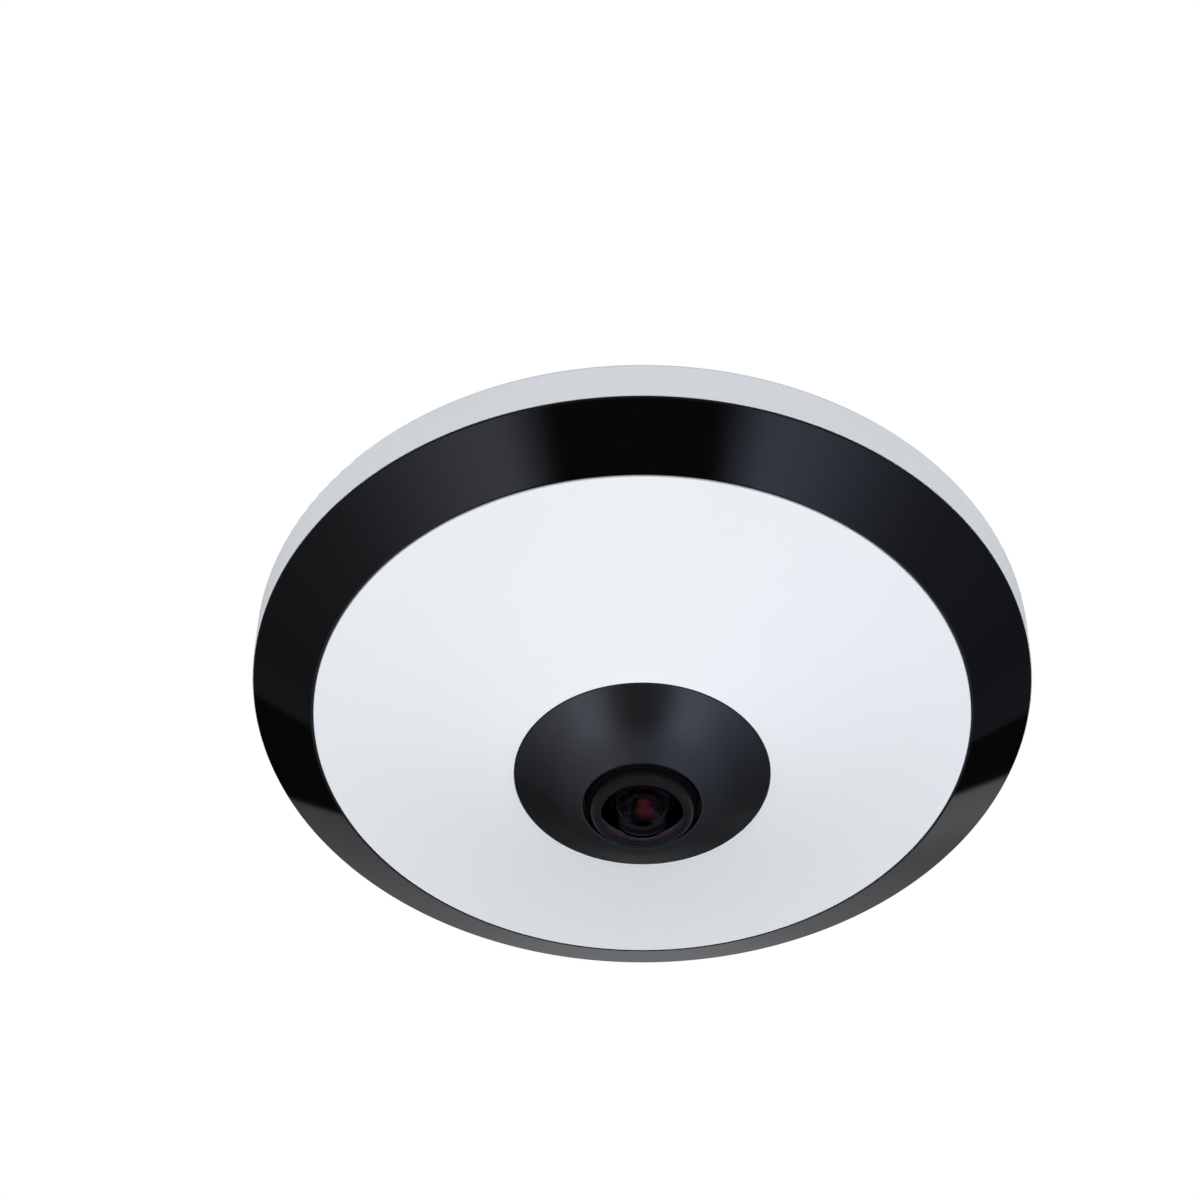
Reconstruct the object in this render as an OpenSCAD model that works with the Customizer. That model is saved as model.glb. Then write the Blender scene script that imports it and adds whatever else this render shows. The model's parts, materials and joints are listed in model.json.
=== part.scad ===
// Ceiling camera with a fisheye lens: a flat round body that hangs on a twist-lock plate,
// with a dark infrared window ring, a flared cover and a conical bezel round the lens.
// Lengths are in millimetres. Inside the modules z is the depth below the ceiling, and
// hang() turns each finished piece over, so that the lens looks down.

/* [Body] */
// Outside diameter of the rear housing
body_d = 126; // [123:0.5:132]
// Gap between the ceiling and the rear rim
rim_gap = 1; // [0.6:0.1:1.4]
// Rounding of the rear edge
rear_round = 1.2; // [0.6:0.1:1.8]
// Wall of the outer skirt
skirt_t = 2; // [1.6:0.1:2.4]
// Depth of the skirt's front edge below the ceiling
skirt_edge = 9; // [8.8:0.1:10]
// Width of the rear rim round the recess of the mounting plate
rim_w = 6; // [5.6:0.1:6.8]
// Wall round the recess
recess_t = 1.6; // [1.2:0.1:2]
// Depth of the rear floor below the ceiling
floor_depth = 5; // [4.8:0.1:5.4]
// Thickness of the rear floor
floor_t = 1.6; // [1.4:0.1:2]

/* [Window ring] */
// Width of the ring, from the skirt's outside to the cover
ring_w = 10.2; // [9.6:0.1:10.8]
// Thickness of the ring's outer edge
ring_edge_t = 0.4; // [0.3:0.1:0.8]
// Depth that the ring gains from its outer to its inner edge
ring_drop = 6.2; // [5.6:0.1:7]
// Wall of the ring
ring_t = 2; // [1.6:0.1:2.2]
// Step of the ring's edge inside the skirt's outside
ring_reveal = 0.15; // [0.05:0.05:0.3]
// Width of the flange behind the cover's edge
ring_flange_w = 2; // [1.5:0.1:2.4]

/* [Cover] */
// Depth that the cover gains from its edge to the bezel
cover_drop = 10.4; // [10:0.1:11.5]
// Wall of the cover
cover_t = 2.1; // [1.8:0.1:2.3]
// Radius of the cover's sweep, from its edge to the flare
sweep_r = 189.7; // [150:5:260]
// Radius of the flare beside the bezel
flare_r = 14; // [10:0.5:18]
// Number of stiffening ribs inside the cover
cover_ribs = 18; // [12:6:24]

/* [Bezel] */
// Diameter of the bezel where it leaves the cover
bezel_d = 40.6; // [40:0.2:42]
// Gap between the bezel's opening and the lens head
head_gap = 0.4; // [0.2:0.1:0.8]
// Depth that the bezel gains from the cover to its opening
bezel_drop = 6.8; // [6.4:0.1:7.6]
// Wall of the bezel
bezel_t = 1.8; // [1.5:0.1:2]

/* [Lens] */
// Wall of the lens head round its retaining ring
head_wall = 0.8; // [0.6:0.1:1]
// Visible diameter of the front glass
glass_d = 12.8; // [12:0.1:13.2]
// Height of the front glass above its ring
dome_h = 2.7; // [2.4:0.1:3]
// Height of the glass rim above the bezel's opening
glass_out = 1.4; // [1.2:0.1:1.8]
// Diameter of the lens thread
thread_d = 12; // [11.8:0.1:12.2]

/* [Mounting plate] */
// Gap between the plate and the wall of its recess
plate_gap = 4.5; // [4:0.1:5.5]
// Thickness of the plate
plate_t = 2; // [1.6:0.1:2.2]
// Diameter of the cable opening
cable_opening_d = 40; // [36:1:44]
// Width of the cable slot
cable_slot_w = 16; // [14:0.5:18]
// Distance of the ceiling screws from the plate's edge
screw_inset = 10.5; // [8.5:0.5:12.5]
// Diameter of the ceiling screw holes
screw_hole_d = 4.5; // [4:0.1:5]
// Number of twist-lock tabs
tabs = 3; // [2:1:3]
// Width of a tab, in degrees
tab_angle = 20; // [16:1:24]

/* [Boards] */
// Width of the ring-shaped lamp board
led_board_w = 8.8; // [8.4:0.1:9.4]
// Thickness of the main board
main_board_t = 1.6; // [1.2:0.1:1.8]
// Side of the sensor board
sensor_board_w = 42; // [41:0.5:44]
// Thickness of the sensor board
sensor_board_t = 1.2; // [1:0.1:1.4]
// Space between the two boards
board_space = 1.9; // [1.8:0.1:2.1]
// Number of infrared lamps
lamps = 6; // [3:3:6]

/* [Filter changer] */
// Side of each filter window
window_w = 5.6; // [5.2:0.1:5.8]
// Width of the bar between the two windows
window_bar = 1; // [0.8:0.1:1.2]
// Length of the lever
arm_l = 8; // [7.8:0.1:8.4]

/* [Cable inlet] */
// Diameter of the cable bore
cable_d = 5.8; // [5:0.1:6.4]
// Distance of the inlet from the middle
inlet_r = 33; // [32:0.5:34]

/* [Hidden] */
$fn = 96;

// Overrun of every cut
over = 0.3;
// Gap between two fitted pieces
fit = 0.05;
// Gap between pieces that slide on each other
slide_gap = 0.1;

// Across the body, from the outside inwards
recess_d = body_d - 2 * rim_w;
cover_d = body_d - 2 * ring_w;
plate_d = recess_d - 2 * plate_gap;
screw_circle_d = plate_d - 2 * screw_inset;

// Across the lens, from the glass outwards
glass_seat_w = 0.7;
retainer_wall = 1;
front_glass_r = glass_d / 2 + glass_seat_w;
lens_head_d = 2 * (front_glass_r + retainer_wall + head_wall);
bezel_front_d = lens_head_d + 2 * head_gap;

// Depths below the ceiling, from the rear to the lens
floor_front = floor_depth + floor_t;
ring_edge = skirt_edge + ring_edge_t;
cover_edge = ring_edge + ring_drop;
bezel_base = cover_edge + cover_drop;
bezel_front = bezel_base + bezel_drop;
glass_rim = bezel_front + glass_out;
lens_tip = glass_rim + dome_h;

// Outline of the cover: a wide arc from the edge and a tighter one beside the bezel,
// tangent to each other, both centred outside the wall. The sweep's centre stands at its
// radius from the edge, and from the flare's centre at the difference of their radii
bezel_slope = atan2(bezel_drop, (bezel_d - bezel_front_d) / 2);
edge_point = [cover_d / 2, cover_edge];
flare_point = [bezel_d / 2, bezel_base];
flare_centre = flare_point + flare_r * [sin(bezel_slope), cos(bezel_slope)];
chord = flare_centre - edge_point;
span = norm(chord);
along = (span * span + sweep_r * sweep_r - pow(sweep_r - flare_r, 2)) / (2 * span);
across = sqrt(sweep_r * sweep_r - along * along);
sweep_centre = edge_point + (along * chord + across * [chord.y, -chord.x]) / span;
edge_slope = atan2(sweep_centre.x - edge_point.x, sweep_centre.y - edge_point.y);
to_flare = (flare_centre - sweep_centre) / norm(flare_centre - sweep_centre);

// Window ring: the inner face lies one wall behind the outer face
ring_edge_r = body_d / 2 - ring_reveal;
ring_slope = atan2(ring_drop, ring_edge_r - cover_d / 2);
ring_flange_front = cover_edge - cover_t / cos(edge_slope) - fit;
ring_flange_t = 1.4;
ring_lip_w = 1.15;
rebate_w = 1;
rebate_h = 1.8;
rebate_depth = skirt_edge - rebate_h;
channel_ribs = 24;

// Twist lock
tab_t = 1.1;
tab_reach = 3.8;
ledge_gap = 0.2;
ledge_t = 1.3;
ledge_extra_angle = 2;
ledge_clear = 0.7;
stop_angle = 2;
stop_gap_angle = 0.4;
tab_front = rim_gap + tab_t;
ledge_rear = tab_front + ledge_gap;
ledge_front = ledge_rear + ledge_t;
ledge_r = recess_d / 2 - ledge_clear;
ledge_angle = tab_angle + ledge_extra_angle;
plate_rim_w = 2.4;
plate_rim_front = ledge_front - ledge_gap;
plate_rib_t = 1.2;
plate_rib_h = 1.3;
plate_ribs = 6;
hub_wall = 1.4;
slot_end_gap = 8;
first_angle = 30;
tab_angles = [for (i = [0 : tabs - 1]) first_angle + i * 360 / tabs];

// Fastening of the cover through the rear floor
cover_screw_r = 1.25;
cover_head_r = 2.8;
cover_head_h = 1.5;
cup_wall = 1.5;
cup_floor_t = 1;
cup_depth = 2.4;
cup_gap = 0.3;
cup_r = cover_head_r + cup_gap + cup_wall;
cup_front = floor_depth + cup_depth + cup_floor_t;
boss_wall = 2.1;
board_gap = 0.4;
cover_screw_l = 5;
pilot_extra = 0.4;
cover_post_r = cover_screw_r + fit + boss_wall;
led_edge_gap = 0.2;
led_board_r = recess_d / 2 + recess_t - led_edge_gap;
cover_post_at = led_board_r - led_board_w - board_gap - cup_r;
main_board_d = 2 * (cover_post_at - cup_r - board_gap);
cover_post_angles = [90, 210, 330];

// Main board, its bosses and what stands on its two faces
board_post_h = 2.9;
board_rear = floor_front + board_post_h;
board_front = board_rear + main_board_t;
board_screw_r = 1;
board_head_r = 1.9;
board_head_h = 1.3;
board_post_wall = 1.9;
board_screw_l = 3.4;
board_post_inset = 4;
board_post_at = main_board_d / 2 - board_post_inset;
board_post_angles = [45, 135, 225, 315];
inlet_notch_r = 9;
inlet_notch_out = 3.2;
inlet_notch_at = inlet_r + inlet_notch_out;
processor_w = 15;
processor_h = 1.3;
pad_h = 0.7;
pad_w = 14;
spreader_w = 30;
spreader_round = 2;

// Sensor board and the image sensor
sensor_rear = board_front + board_space;
sensor_front = sensor_rear + sensor_board_t;
sensor_hole_inset = 2.5;
sensor_hole_at = sensor_board_w / 2 - sensor_hole_inset;
spacer_r = 2;
small_screw_r = 0.9;
small_head_r = 1.7;
small_head_h = 1.1;
sensor_corner = 1.5;
sensor_w = 8.2;
sensor_h = 1.4;
sensor_glass_w = 7;
sensor_glass_t = 0.4;

// Filter changer, stacked on the sensor
tray_gap = 0.3;
tray_t = 0.7;
carriage_t = 0.8;
arm_t = 0.6;
holder_plate_t = 1;
window_margin = 1.1;
rail_gap = 0.3;
holder_wall = 1;
tray_rear = sensor_front + sensor_h + sensor_glass_t + tray_gap;
tray_front = tray_rear + tray_t;
carriage_rear = tray_front + slide_gap;
carriage_front = carriage_rear + carriage_t;
arm_rear = carriage_front + slide_gap;
arm_front = arm_rear + arm_t;
plate_rear = arm_front + slide_gap;
plate_front = plate_rear + holder_plate_t;
carriage_side_w = 1.43;
carriage_half_y = window_w / 2 + carriage_side_w;
window_frame = window_w / 2 + window_margin;
filter_travel = window_w + window_bar;
window_pitch = filter_travel;
chamber_half_x = window_pitch + window_frame + rail_gap;
chamber_half_y = carriage_half_y + slide_gap;
rail_w = 0.9;
arm_pin_r = 0.6;
arm_pin_gap = 0.09;
arm_half_w = 1.1;
arm_swing = asin(filter_travel / 2 / arm_l);
arm_hub_r = 1.8;
pin_to_window = 1.2;
rotor_y = carriage_half_y + pin_to_window + arm_l;
pin_near_y = rotor_y - arm_l;
pin_far_y = rotor_y - arm_l * cos(arm_swing);
tab_half_w = 1.7;
tab_end_wall = 0.8;
rotor_r = 2.4;
rotor_h = 2.7;
rotor_pin_r = 0.6;
rotor_bore_gap = 0.04;
rotor_front = arm_rear;
rotor_rear = rotor_front - rotor_h;
pocket_side_gap = 1.3;
pocket_end_gap = 0.48;
pocket_half_x = filter_travel / 2 + arm_half_w + pocket_side_gap;
pocket_end_y = rotor_y + rotor_r + pocket_end_gap;
ear_out = 2;
ear_at = chamber_half_x + holder_wall + ear_out;
ear_r = 2.2;
ear_h = 3.6;
yoke_t = 1.2;
yoke_gap = 0.25;
coil_r = 1.6;
coil_lip = 0.16;
coil_flange_t = 0.6;
coil_gap = 0.3;
coil_lift = 0.2;
yoke_mid = sensor_front + coil_r + coil_lift;
coil_y = rotor_y + rotor_r + coil_gap + coil_r;
yoke_half_x = rotor_r + yoke_gap;

// Lens: a threaded barrel with a wide head, which holds the glasses
holder_tube_wall = 2;
thread_r = thread_d / 2;
lens_clear = 0.5;
lens_rear = plate_front + lens_clear;
head_sink = 0.2;
head_front = bezel_front - head_sink;
head_h = 4.5;
head_rear = head_front - head_h;
lock_t = 2;
lock_gap = 0.3;
holder_front = head_rear - lock_gap - lock_t;
lock_wall = 2.6;
lock_notches = 6;
lock_notch_r = 0.8;
dome_r = (glass_d * glass_d / 4 + dome_h * dome_h) / (2 * dome_h);
dome_centre = lens_tip - dome_r;
front_glass_t = 2.4;
front_glass_rear = glass_rim - front_glass_t;
front_seat_w = 2.2;
hollow_edge_w = 0.3;
bore_wide_r = front_glass_r - front_seat_w;
front_hollow_r = bore_wide_r;
front_hollow_rim_r = front_hollow_r - hollow_edge_w;
bore_narrow_r = 4;
head_floor_t = 0.8;
bore_step = head_rear + head_floor_t;
second_t = 2;
second_bend_r = 6.4;
second_sag = 1.2;
rear_bend_r = 8;
stop_t = 0.5;
stop_hole_r = 1.3;
rear_glass_t = 2.6;
rear_lip_w = 0.6;
rear_lip_t = 0.5;
retainer_h = 1.1;
retainer_out = 1;

// Bezel: the cone stands on a neck with a flange behind the cover
collar_h = 6.6;
collar_t = 1.6;
collar_rear = bezel_base - collar_h;
bezel_flange_t = 1.4;
bezel_flange_out = 1.2;
bezel_flange_r = bezel_d / 2 + collar_t + bezel_flange_out;
neck_r = bezel_d / 2 - 2 * fit;
bezel_ear_out = 3.4;
bezel_ear_at = bezel_flange_r + bezel_ear_out;
bezel_ear_r = 2.6;
bezel_screw_r = 0.75;
bezel_head_r = 1.6;
bezel_head_h = 1;
bezel_screw_l = 1.9;
bezel_ear_angles = [30, 150, 270];
bezel_lip_h = 1.8;
bezel_rim_round = 0.5;
gasket_t = 1.2;
gasket_w = 1.3;

// Lamp board
led_board_t = 1;
led_post_h = 1;
led_board_rear = floor_front + led_post_h;
led_board_front = led_board_rear + led_board_t;
led_mid_r = led_board_r - led_board_w / 2;
led_w = 3.5;
led_base_h = 0.9;
led_dome_r = 1.3;
led_screw_l = 2;
led_post_r = 2.4;
led_angles = [for (i = [0 : lamps - 1]) first_angle + i * 360 / lamps];
led_screw_angles = [0, 120, 240];
light_sensor_angle = 60;
light_sensor_size = [2.1, 1.75];
flex_w = 8;
flex_t = 0.3;
flex_seat = 4.2;
flex_clear = 0.6;
flex_main_end = main_board_d / 2 + flex_clear;
flex_lamp_end = led_board_r - led_board_w + flex_clear;
connector_l = 3;
connector_h = 1.2;

// Reset button
reset_gap_x = 3;
reset_y = 12;
reset_at = [sensor_board_w / 2 + reset_gap_x, reset_y];
reset_stem_r = 1.5;
reset_bore_gap = 0.1;
reset_flange_r = 2.4;
reset_flange_t = 0.5;
reset_sink = 0.2;
reset_travel = 0.35;
switch_h = 1.5;
switch_size = [4.6, 3.6];
plunger_r = 0.9;
plunger_out = 0.6;
plunger_seat = 0.7;

module hang() {
    mirror([0, 0, 1]) children();
}

module around(angles, r) {
    for (a = angles) rotate([0, 0, a]) translate([r, 0, 0]) children();
}

module block(x, y, z) {
    translate([-x / 2, -y / 2, 0]) cube([x, y, z]);
}

module drum(r, from, to) {
    translate([0, 0, from]) cylinder(r = r, h = to - from);
}

module sector(r, from, to, angle) {
    translate([0, 0, from]) rotate([0, 0, -angle / 2]) rotate_extrude(angle = angle)
        square([r, to - from]);
}

module rounded_block(x, y, z, r) {
    linear_extrude(z) union() {
        square([x - 2 * r, y], center = true);
        square([x, y - 2 * r], center = true);
        for (i = [-1, 1], j = [-1, 1])
            translate([i * (x / 2 - r), j * (y / 2 - r)]) circle(r);
    }
}

// The half section on the ceiling side of the cover's outer face, moved in by inset
module cover_mass(inset, r_in, r_out, rear) {
    meet = sweep_centre + (sweep_r + inset) * to_flare;
    difference() {
        translate([r_in, rear]) square([r_out - r_in, bezel_base - rear]);
        intersection() {
            translate(sweep_centre) circle(sweep_r + inset, $fn = 720);
            translate([meet.x, rear]) square([body_d, body_d]);
        }
        intersection() {
            translate(flare_centre) circle(flare_r + inset, $fn = 180);
            translate([0, rear]) square([meet.x, bezel_base]);
        }
    }
}

// Mounting plate

// A ledge that holds one tab of the housing, and the stop at its end
module tab_ledge() {
    difference() {
        union() {
            rotate([0, 0, stop_angle * 3 / 4])
                sector(ledge_r, ledge_rear, ledge_front, ledge_angle + stop_angle * 3 / 2);
            rotate([0, 0, ledge_angle / 2 + stop_angle / 2])
                sector(ledge_r - ledge_gap, rim_gap, ledge_rear + ledge_t / 2, stop_angle);
        }
        drum(plate_d / 2 - plate_rim_w / 2, 0, ledge_front + over);
    }
}

module cable_opening(grow, from, to) {
    drum(cable_opening_d / 2 + grow, from, to);
    slot_r = cable_slot_w / 2 + grow;
    translate([-slot_r, grow - inlet_r - slot_end_gap + cable_slot_w / 2 - grow, from])
        cube([2 * slot_r, inlet_r + slot_end_gap - cable_slot_w / 2, to - from]);
    translate([0, cable_slot_w / 2 - inlet_r - slot_end_gap, 0]) drum(slot_r, from, to);
}

module mounting_plate() {
    color("gainsboro") hang() difference() {
        union() {
            drum(plate_d / 2, 0, plate_t);
            difference() {
                drum(plate_d / 2, 0, plate_rim_front);
                drum(plate_d / 2 - plate_rim_w, plate_t, ledge_front + over);
            }
            cable_opening(hub_wall, 0, plate_t + plate_rib_h);
            for (i = [0 : plate_ribs - 1]) rotate([0, 0, i * 360 / plate_ribs])
                translate([0, -plate_rib_t / 2, 0])
                    cube([plate_d / 2 - plate_rim_w / 2, plate_rib_t, plate_t + plate_rib_h]);
            for (a = tab_angles) rotate([0, 0, a]) tab_ledge();
        }
        cable_opening(0, -over, ledge_front + over);
        around(cover_post_angles, screw_circle_d / 2)
            drum(screw_hole_d / 2, -over, plate_t + over);
    }
}

// Rear housing

module housing_section() {
    skirt_r = body_d / 2;
    inner_r = skirt_r - skirt_t;
    wall_r = recess_d / 2 + recess_t;
    difference() {
        polygon([
            [0, floor_depth], [recess_d / 2, floor_depth], [recess_d / 2, rim_gap],
            [skirt_r, rim_gap], [skirt_r, skirt_edge], [skirt_r - rebate_w, skirt_edge],
            [skirt_r - rebate_w, rebate_depth], [inner_r, rebate_depth],
            [inner_r, rim_gap + recess_t], [wall_r, rim_gap + recess_t],
            [wall_r, floor_front], [0, floor_front]
        ]);
        difference() {
            translate([skirt_r - rear_round, rim_gap - over])
                square([rear_round + over, rear_round + over]);
            translate([skirt_r - rear_round, rim_gap + rear_round]) circle(rear_round);
        }
    }
}

module channel_rib() {
    translate([recess_d / 2 + recess_t / 2, -recess_t / 4, rim_gap + recess_t / 2])
        cube([(body_d - recess_d) / 2 - recess_t / 2 - skirt_t / 2, recess_t / 2,
            floor_front - rim_gap - recess_t]);
}

module housing_tabs() {
    for (a = tab_angles) rotate([0, 0, a + ledge_extra_angle / 2 - stop_gap_angle]) difference() {
        sector(recess_d / 2 + fit, rim_gap, tab_front, tab_angle);
        drum(recess_d / 2 - tab_reach, 0, tab_front + over);
    }
}

module base_housing() {
    color("whitesmoke") hang() difference() {
        union() {
            rotate_extrude($fn = 180) housing_section();
            for (i = [0 : channel_ribs - 1]) rotate([0, 0, i * 360 / channel_ribs]) channel_rib();
            housing_tabs();
            around(cover_post_angles, cover_post_at) drum(cup_r, floor_depth + fit, cup_front);
            around(board_post_angles, board_post_at)
                drum(board_screw_r + board_post_wall, floor_depth + fit, board_rear);
            around(led_screw_angles, led_mid_r)
                drum(led_post_r, floor_depth + fit, led_board_rear);
            translate([0, -inlet_r, 0])
                drum(cable_d / 2 + grommet_wall + inlet_wall, floor_depth + fit, floor_front);
        }
        around(cover_post_angles, cover_post_at) {
            drum(cover_head_r + cup_gap, floor_depth - over, floor_depth + cup_depth);
            drum(cover_screw_r + slide_gap, floor_depth, cup_front + over);
        }
        around(board_post_angles, board_post_at)
            drum(board_screw_r + fit, floor_front, board_rear + over);
        around(led_screw_angles, led_mid_r)
            drum(small_screw_r + fit, led_board_rear - led_screw_l, led_board_rear + over);
        translate([0, -inlet_r, 0])
            drum(cable_d / 2 + grommet_wall, floor_depth - over, floor_front + over);
        translate(reset_at)
            drum(reset_stem_r + reset_bore_gap, floor_depth - over, floor_front + over);
    }
}

// Cable inlet

grommet_wall = 2.2;
grommet_flange = 1.6;
grommet_flange_t = 1;
inlet_wall = 2;

module cable_grommet() {
    seat_r = cable_d / 2 + grommet_wall - fit / 2;
    color("dimgray") hang() translate([0, -inlet_r, 0]) difference() {
        union() {
            drum(seat_r, floor_depth - grommet_flange_t, floor_front + grommet_flange_t);
            drum(seat_r + grommet_flange, floor_depth - grommet_flange_t, floor_depth);
            drum(seat_r + grommet_flange / 2, floor_front, floor_front + grommet_flange_t);
        }
        drum(cable_d / 2, floor_depth - grommet_flange_t - over,
            floor_front + grommet_flange_t + over);
    }
}

// A screw whose head rests at the depth seat; way is 1 when its tip points to the lens
module screw(r, l, head_r, head_h, seat, way) {
    drum(r, way > 0 ? seat - head_h / 2 : seat - l, way > 0 ? seat + l : seat + head_h / 2);
    difference() {
        drum(head_r, way > 0 ? seat - head_h : seat, way > 0 ? seat : seat + head_h);
        translate([0, 0, way > 0 ? seat - head_h - over : seat + head_h / 2])
            cylinder(r = head_r / 2, h = head_h / 2 + over, $fn = 6);
    }
}

module cover_screws() {
    color("silver") hang() around(cover_post_angles, cover_post_at)
        screw(cover_screw_r, cover_screw_l + cup_floor_t, cover_head_r, cover_head_h,
            floor_depth + cup_depth, 1);
}

// Main board and its parts

module heat_spreader() {
    color("lightgray") hang() translate([0, 0, floor_front])
        rounded_block(spreader_w, spreader_w, board_post_h - processor_h - pad_h,
            spreader_round);
}

module thermal_pad() {
    color("steelblue") hang()
        translate([0, 0, board_rear - processor_h - pad_h]) block(pad_w, pad_w, pad_h);
}

module processor() {
    color("black") hang()
        translate([0, 0, board_rear - processor_h]) block(processor_w, processor_w, processor_h);
}

memory_size = [8, 11, 1.1];
memory_gap = 2;
memory_pair_gap = 5;
memory_at = [spreader_w / 2 + memory_gap + memory_size.x / 2,
    (memory_size.y + memory_pair_gap) / 2];

module memory_chips() {
    color("black") hang() for (side = [-1, 1])
        translate([-memory_at.x, side * memory_at.y, board_rear - memory_size.z])
            block(memory_size.x, memory_size.y, memory_size.z);
}

module main_board() {
    color("darkgreen") hang() difference() {
        drum(main_board_d / 2, board_rear, board_front);
        around(board_post_angles, board_post_at)
            drum(board_screw_r + slide_gap, board_rear - over, board_front + over);
        for (i = [-1, 1], j = [-1, 1]) translate([i * sensor_hole_at, j * sensor_hole_at, 0])
            drum(small_screw_r + slide_gap, board_rear - over, board_front + over);
        translate([0, -inlet_notch_at, 0])
            drum(inlet_notch_r, board_rear - over, board_front + over);
    }
}

module board_screws() {
    color("silver") hang() around(board_post_angles, board_post_at)
        screw(board_screw_r, board_screw_l, board_head_r, board_head_h, board_front, -1);
}

socket_size = [14, 15, 1.9];
socket_inset = 2;
card_gap = [11.4, 13, 1];
socket_y = main_board_d / 2 - socket_inset - socket_size.y / 2;

module card_socket() {
    color("silver") hang() translate([0, socket_y, board_front]) difference() {
        block(socket_size.x, socket_size.y, socket_size.z);
        translate([0, socket_size.y - card_gap.y, (socket_size.z - card_gap.z) / 2])
            block(card_gap.x, socket_size.y, card_gap.z);
    }
}

header_h = 5;
header_wall = 0.7;
header_pin_w = 0.5;
header_depth = 4.4;
header_in = 4;
header_y = header_in - inlet_r;
network_pins = 8;
power_pins = 2;
pin_pitch = 1.1;
network_gap = 0.3;
power_gap = 1.8;
network_x = -inlet_notch_r - network_gap - header_w(network_pins) / 2;
power_x = inlet_notch_r + power_gap + header_w(power_pins) / 2;

function header_w(pins) = pins * pin_pitch + 2 * header_wall;

// A shrouded header that opens towards the lens
module header(pins) {
    difference() {
        block(header_w(pins), header_depth, header_h);
        translate([0, 0, 2 * header_wall])
            block(pins * pin_pitch, header_depth - 2 * header_wall, header_h);
    }
    for (i = [0 : pins - 1])
        translate([(i - (pins - 1) / 2) * pin_pitch, 0, header_wall])
            block(header_pin_w, header_pin_w, header_h - 2 * header_wall);
}

module network_header() {
    color("ivory") hang() translate([network_x, header_y, board_front]) header(network_pins);
}

module power_header() {
    color("ivory") hang() translate([power_x, header_y, board_front]) header(power_pins);
}

// These stand round the sensor board, each with its own gap to it
flex_half_w = (flex_w + connector_h) / 2;
transformer_size = [9.4, 13, 3.6];
transformer_gap = [3.1, 0.9];
transformer_at = [-sensor_board_w / 2 - transformer_gap.x - transformer_size.x / 2,
    -flex_half_w - transformer_gap.y - transformer_size.y / 2];
poe_size = [9.6, 11, 5];
poe_gap = [2.6, 1.3];
poe_at = [-sensor_board_w / 2 - poe_gap.x - poe_size.x / 2,
    flex_half_w + poe_gap.y + poe_size.y / 2];
coil_size = [5, 5, 3];
coil_gap_x = 7.1;
coil_mid_y = 5.6;
coil_at = [sensor_board_w / 2 + coil_gap_x + coil_size.x / 2, coil_mid_y];
coil_rows = 3;
coil_step = 6.2;
capacitor_r = 2.6;
capacitor_h = 4.8;
capacitor_gap_x = 5.4;
capacitor_y = -11;
capacitor_at = [sensor_board_w / 2 + capacitor_gap_x + capacitor_r, capacitor_y];
capacitor_step = 6.4;
battery_r = 3.4;
battery_h = 1.9;
battery_x = 16;
battery_gap_y = 6.6;
battery_at = [battery_x, sensor_board_w / 2 + battery_gap_y + battery_r];

module ethernet_transformer() {
    color("black") hang()
        translate([transformer_at.x, transformer_at.y, board_front])
            block(transformer_size.x, transformer_size.y, transformer_size.z);
}

module poe_transformer() {
    color("goldenrod") hang() translate([poe_at.x, poe_at.y, board_front]) {
        block(poe_size.x, poe_size.y, poe_size.z / 4);
        translate([0, 0, poe_size.z * 3 / 4]) block(poe_size.x, poe_size.y, poe_size.z / 4);
        block(poe_size.x * 3 / 4, poe_size.y * 3 / 4, poe_size.z);
    }
}

module power_coils() {
    color("dimgray") hang() for (i = [0 : coil_rows - 1])
        translate([coil_at.x, coil_at.y - (coil_rows - 1) / 2 * coil_step + i * coil_step,
            board_front])
            block(coil_size.x, coil_size.y, coil_size.z);
}

module capacitors() {
    color("silver") hang() for (i = [0, 1])
        translate([capacitor_at.x - i * capacitor_step / 2,
            capacitor_at.y - i * capacitor_step, board_front])
            drum(capacitor_r, 0, capacitor_h);
}

module backup_battery() {
    color("silver") hang() translate([battery_at.x, battery_at.y, board_front])
        drum(battery_r, 0, battery_h);
}

// Reset button and its switch

module reset_button() {
    plunger_tip = board_rear - switch_h - plunger_out;
    flange_rear = floor_front + slide_gap;
    color("ivory") hang() translate(reset_at) {
        drum(reset_stem_r, floor_depth + reset_sink, plunger_tip);
        drum(reset_flange_r, flange_rear, flange_rear + reset_flange_t);
    }
}

module switch_plunger() {
    color("black") hang() translate(reset_at)
        drum(plunger_r, board_rear - switch_h - plunger_out,
            board_rear - switch_h + plunger_seat - reset_travel);
}

module reset_switch() {
    color("silver") hang() translate(reset_at) difference() {
        translate([0, 0, board_rear - switch_h]) block(switch_size.x, switch_size.y, switch_h);
        drum(plunger_r + fit, board_rear - switch_h - over, board_rear - switch_h + plunger_seat
            + slide_gap);
    }
}

// Sensor board

module at_sensor_holes() {
    for (i = [-1, 1], j = [-1, 1])
        translate([i * sensor_hole_at, j * sensor_hole_at, 0]) children();
}

module board_spacers() {
    color("gold") hang() at_sensor_holes() difference() {
        translate([0, 0, board_front])
            cylinder(r = spacer_r, h = board_space, $fn = 6);
        drum(small_screw_r + fit, board_front - over, sensor_rear + over);
    }
}

connector_size = [16, 4.4];
connector_inset = 5.8;
connector_y = connector_inset + (connector_size.y - sensor_board_w) / 2;
connector_key_wall = 0.9;

module board_connector() {
    color("saddlebrown") hang() translate([0, connector_y, board_front]) {
        block(connector_size.x, connector_size.y, board_space / 2);
        translate([0, 0, board_space / 2])
            block(connector_size.x - connector_key_wall, connector_size.y - connector_key_wall,
                board_space / 2);
    }
}

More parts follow.
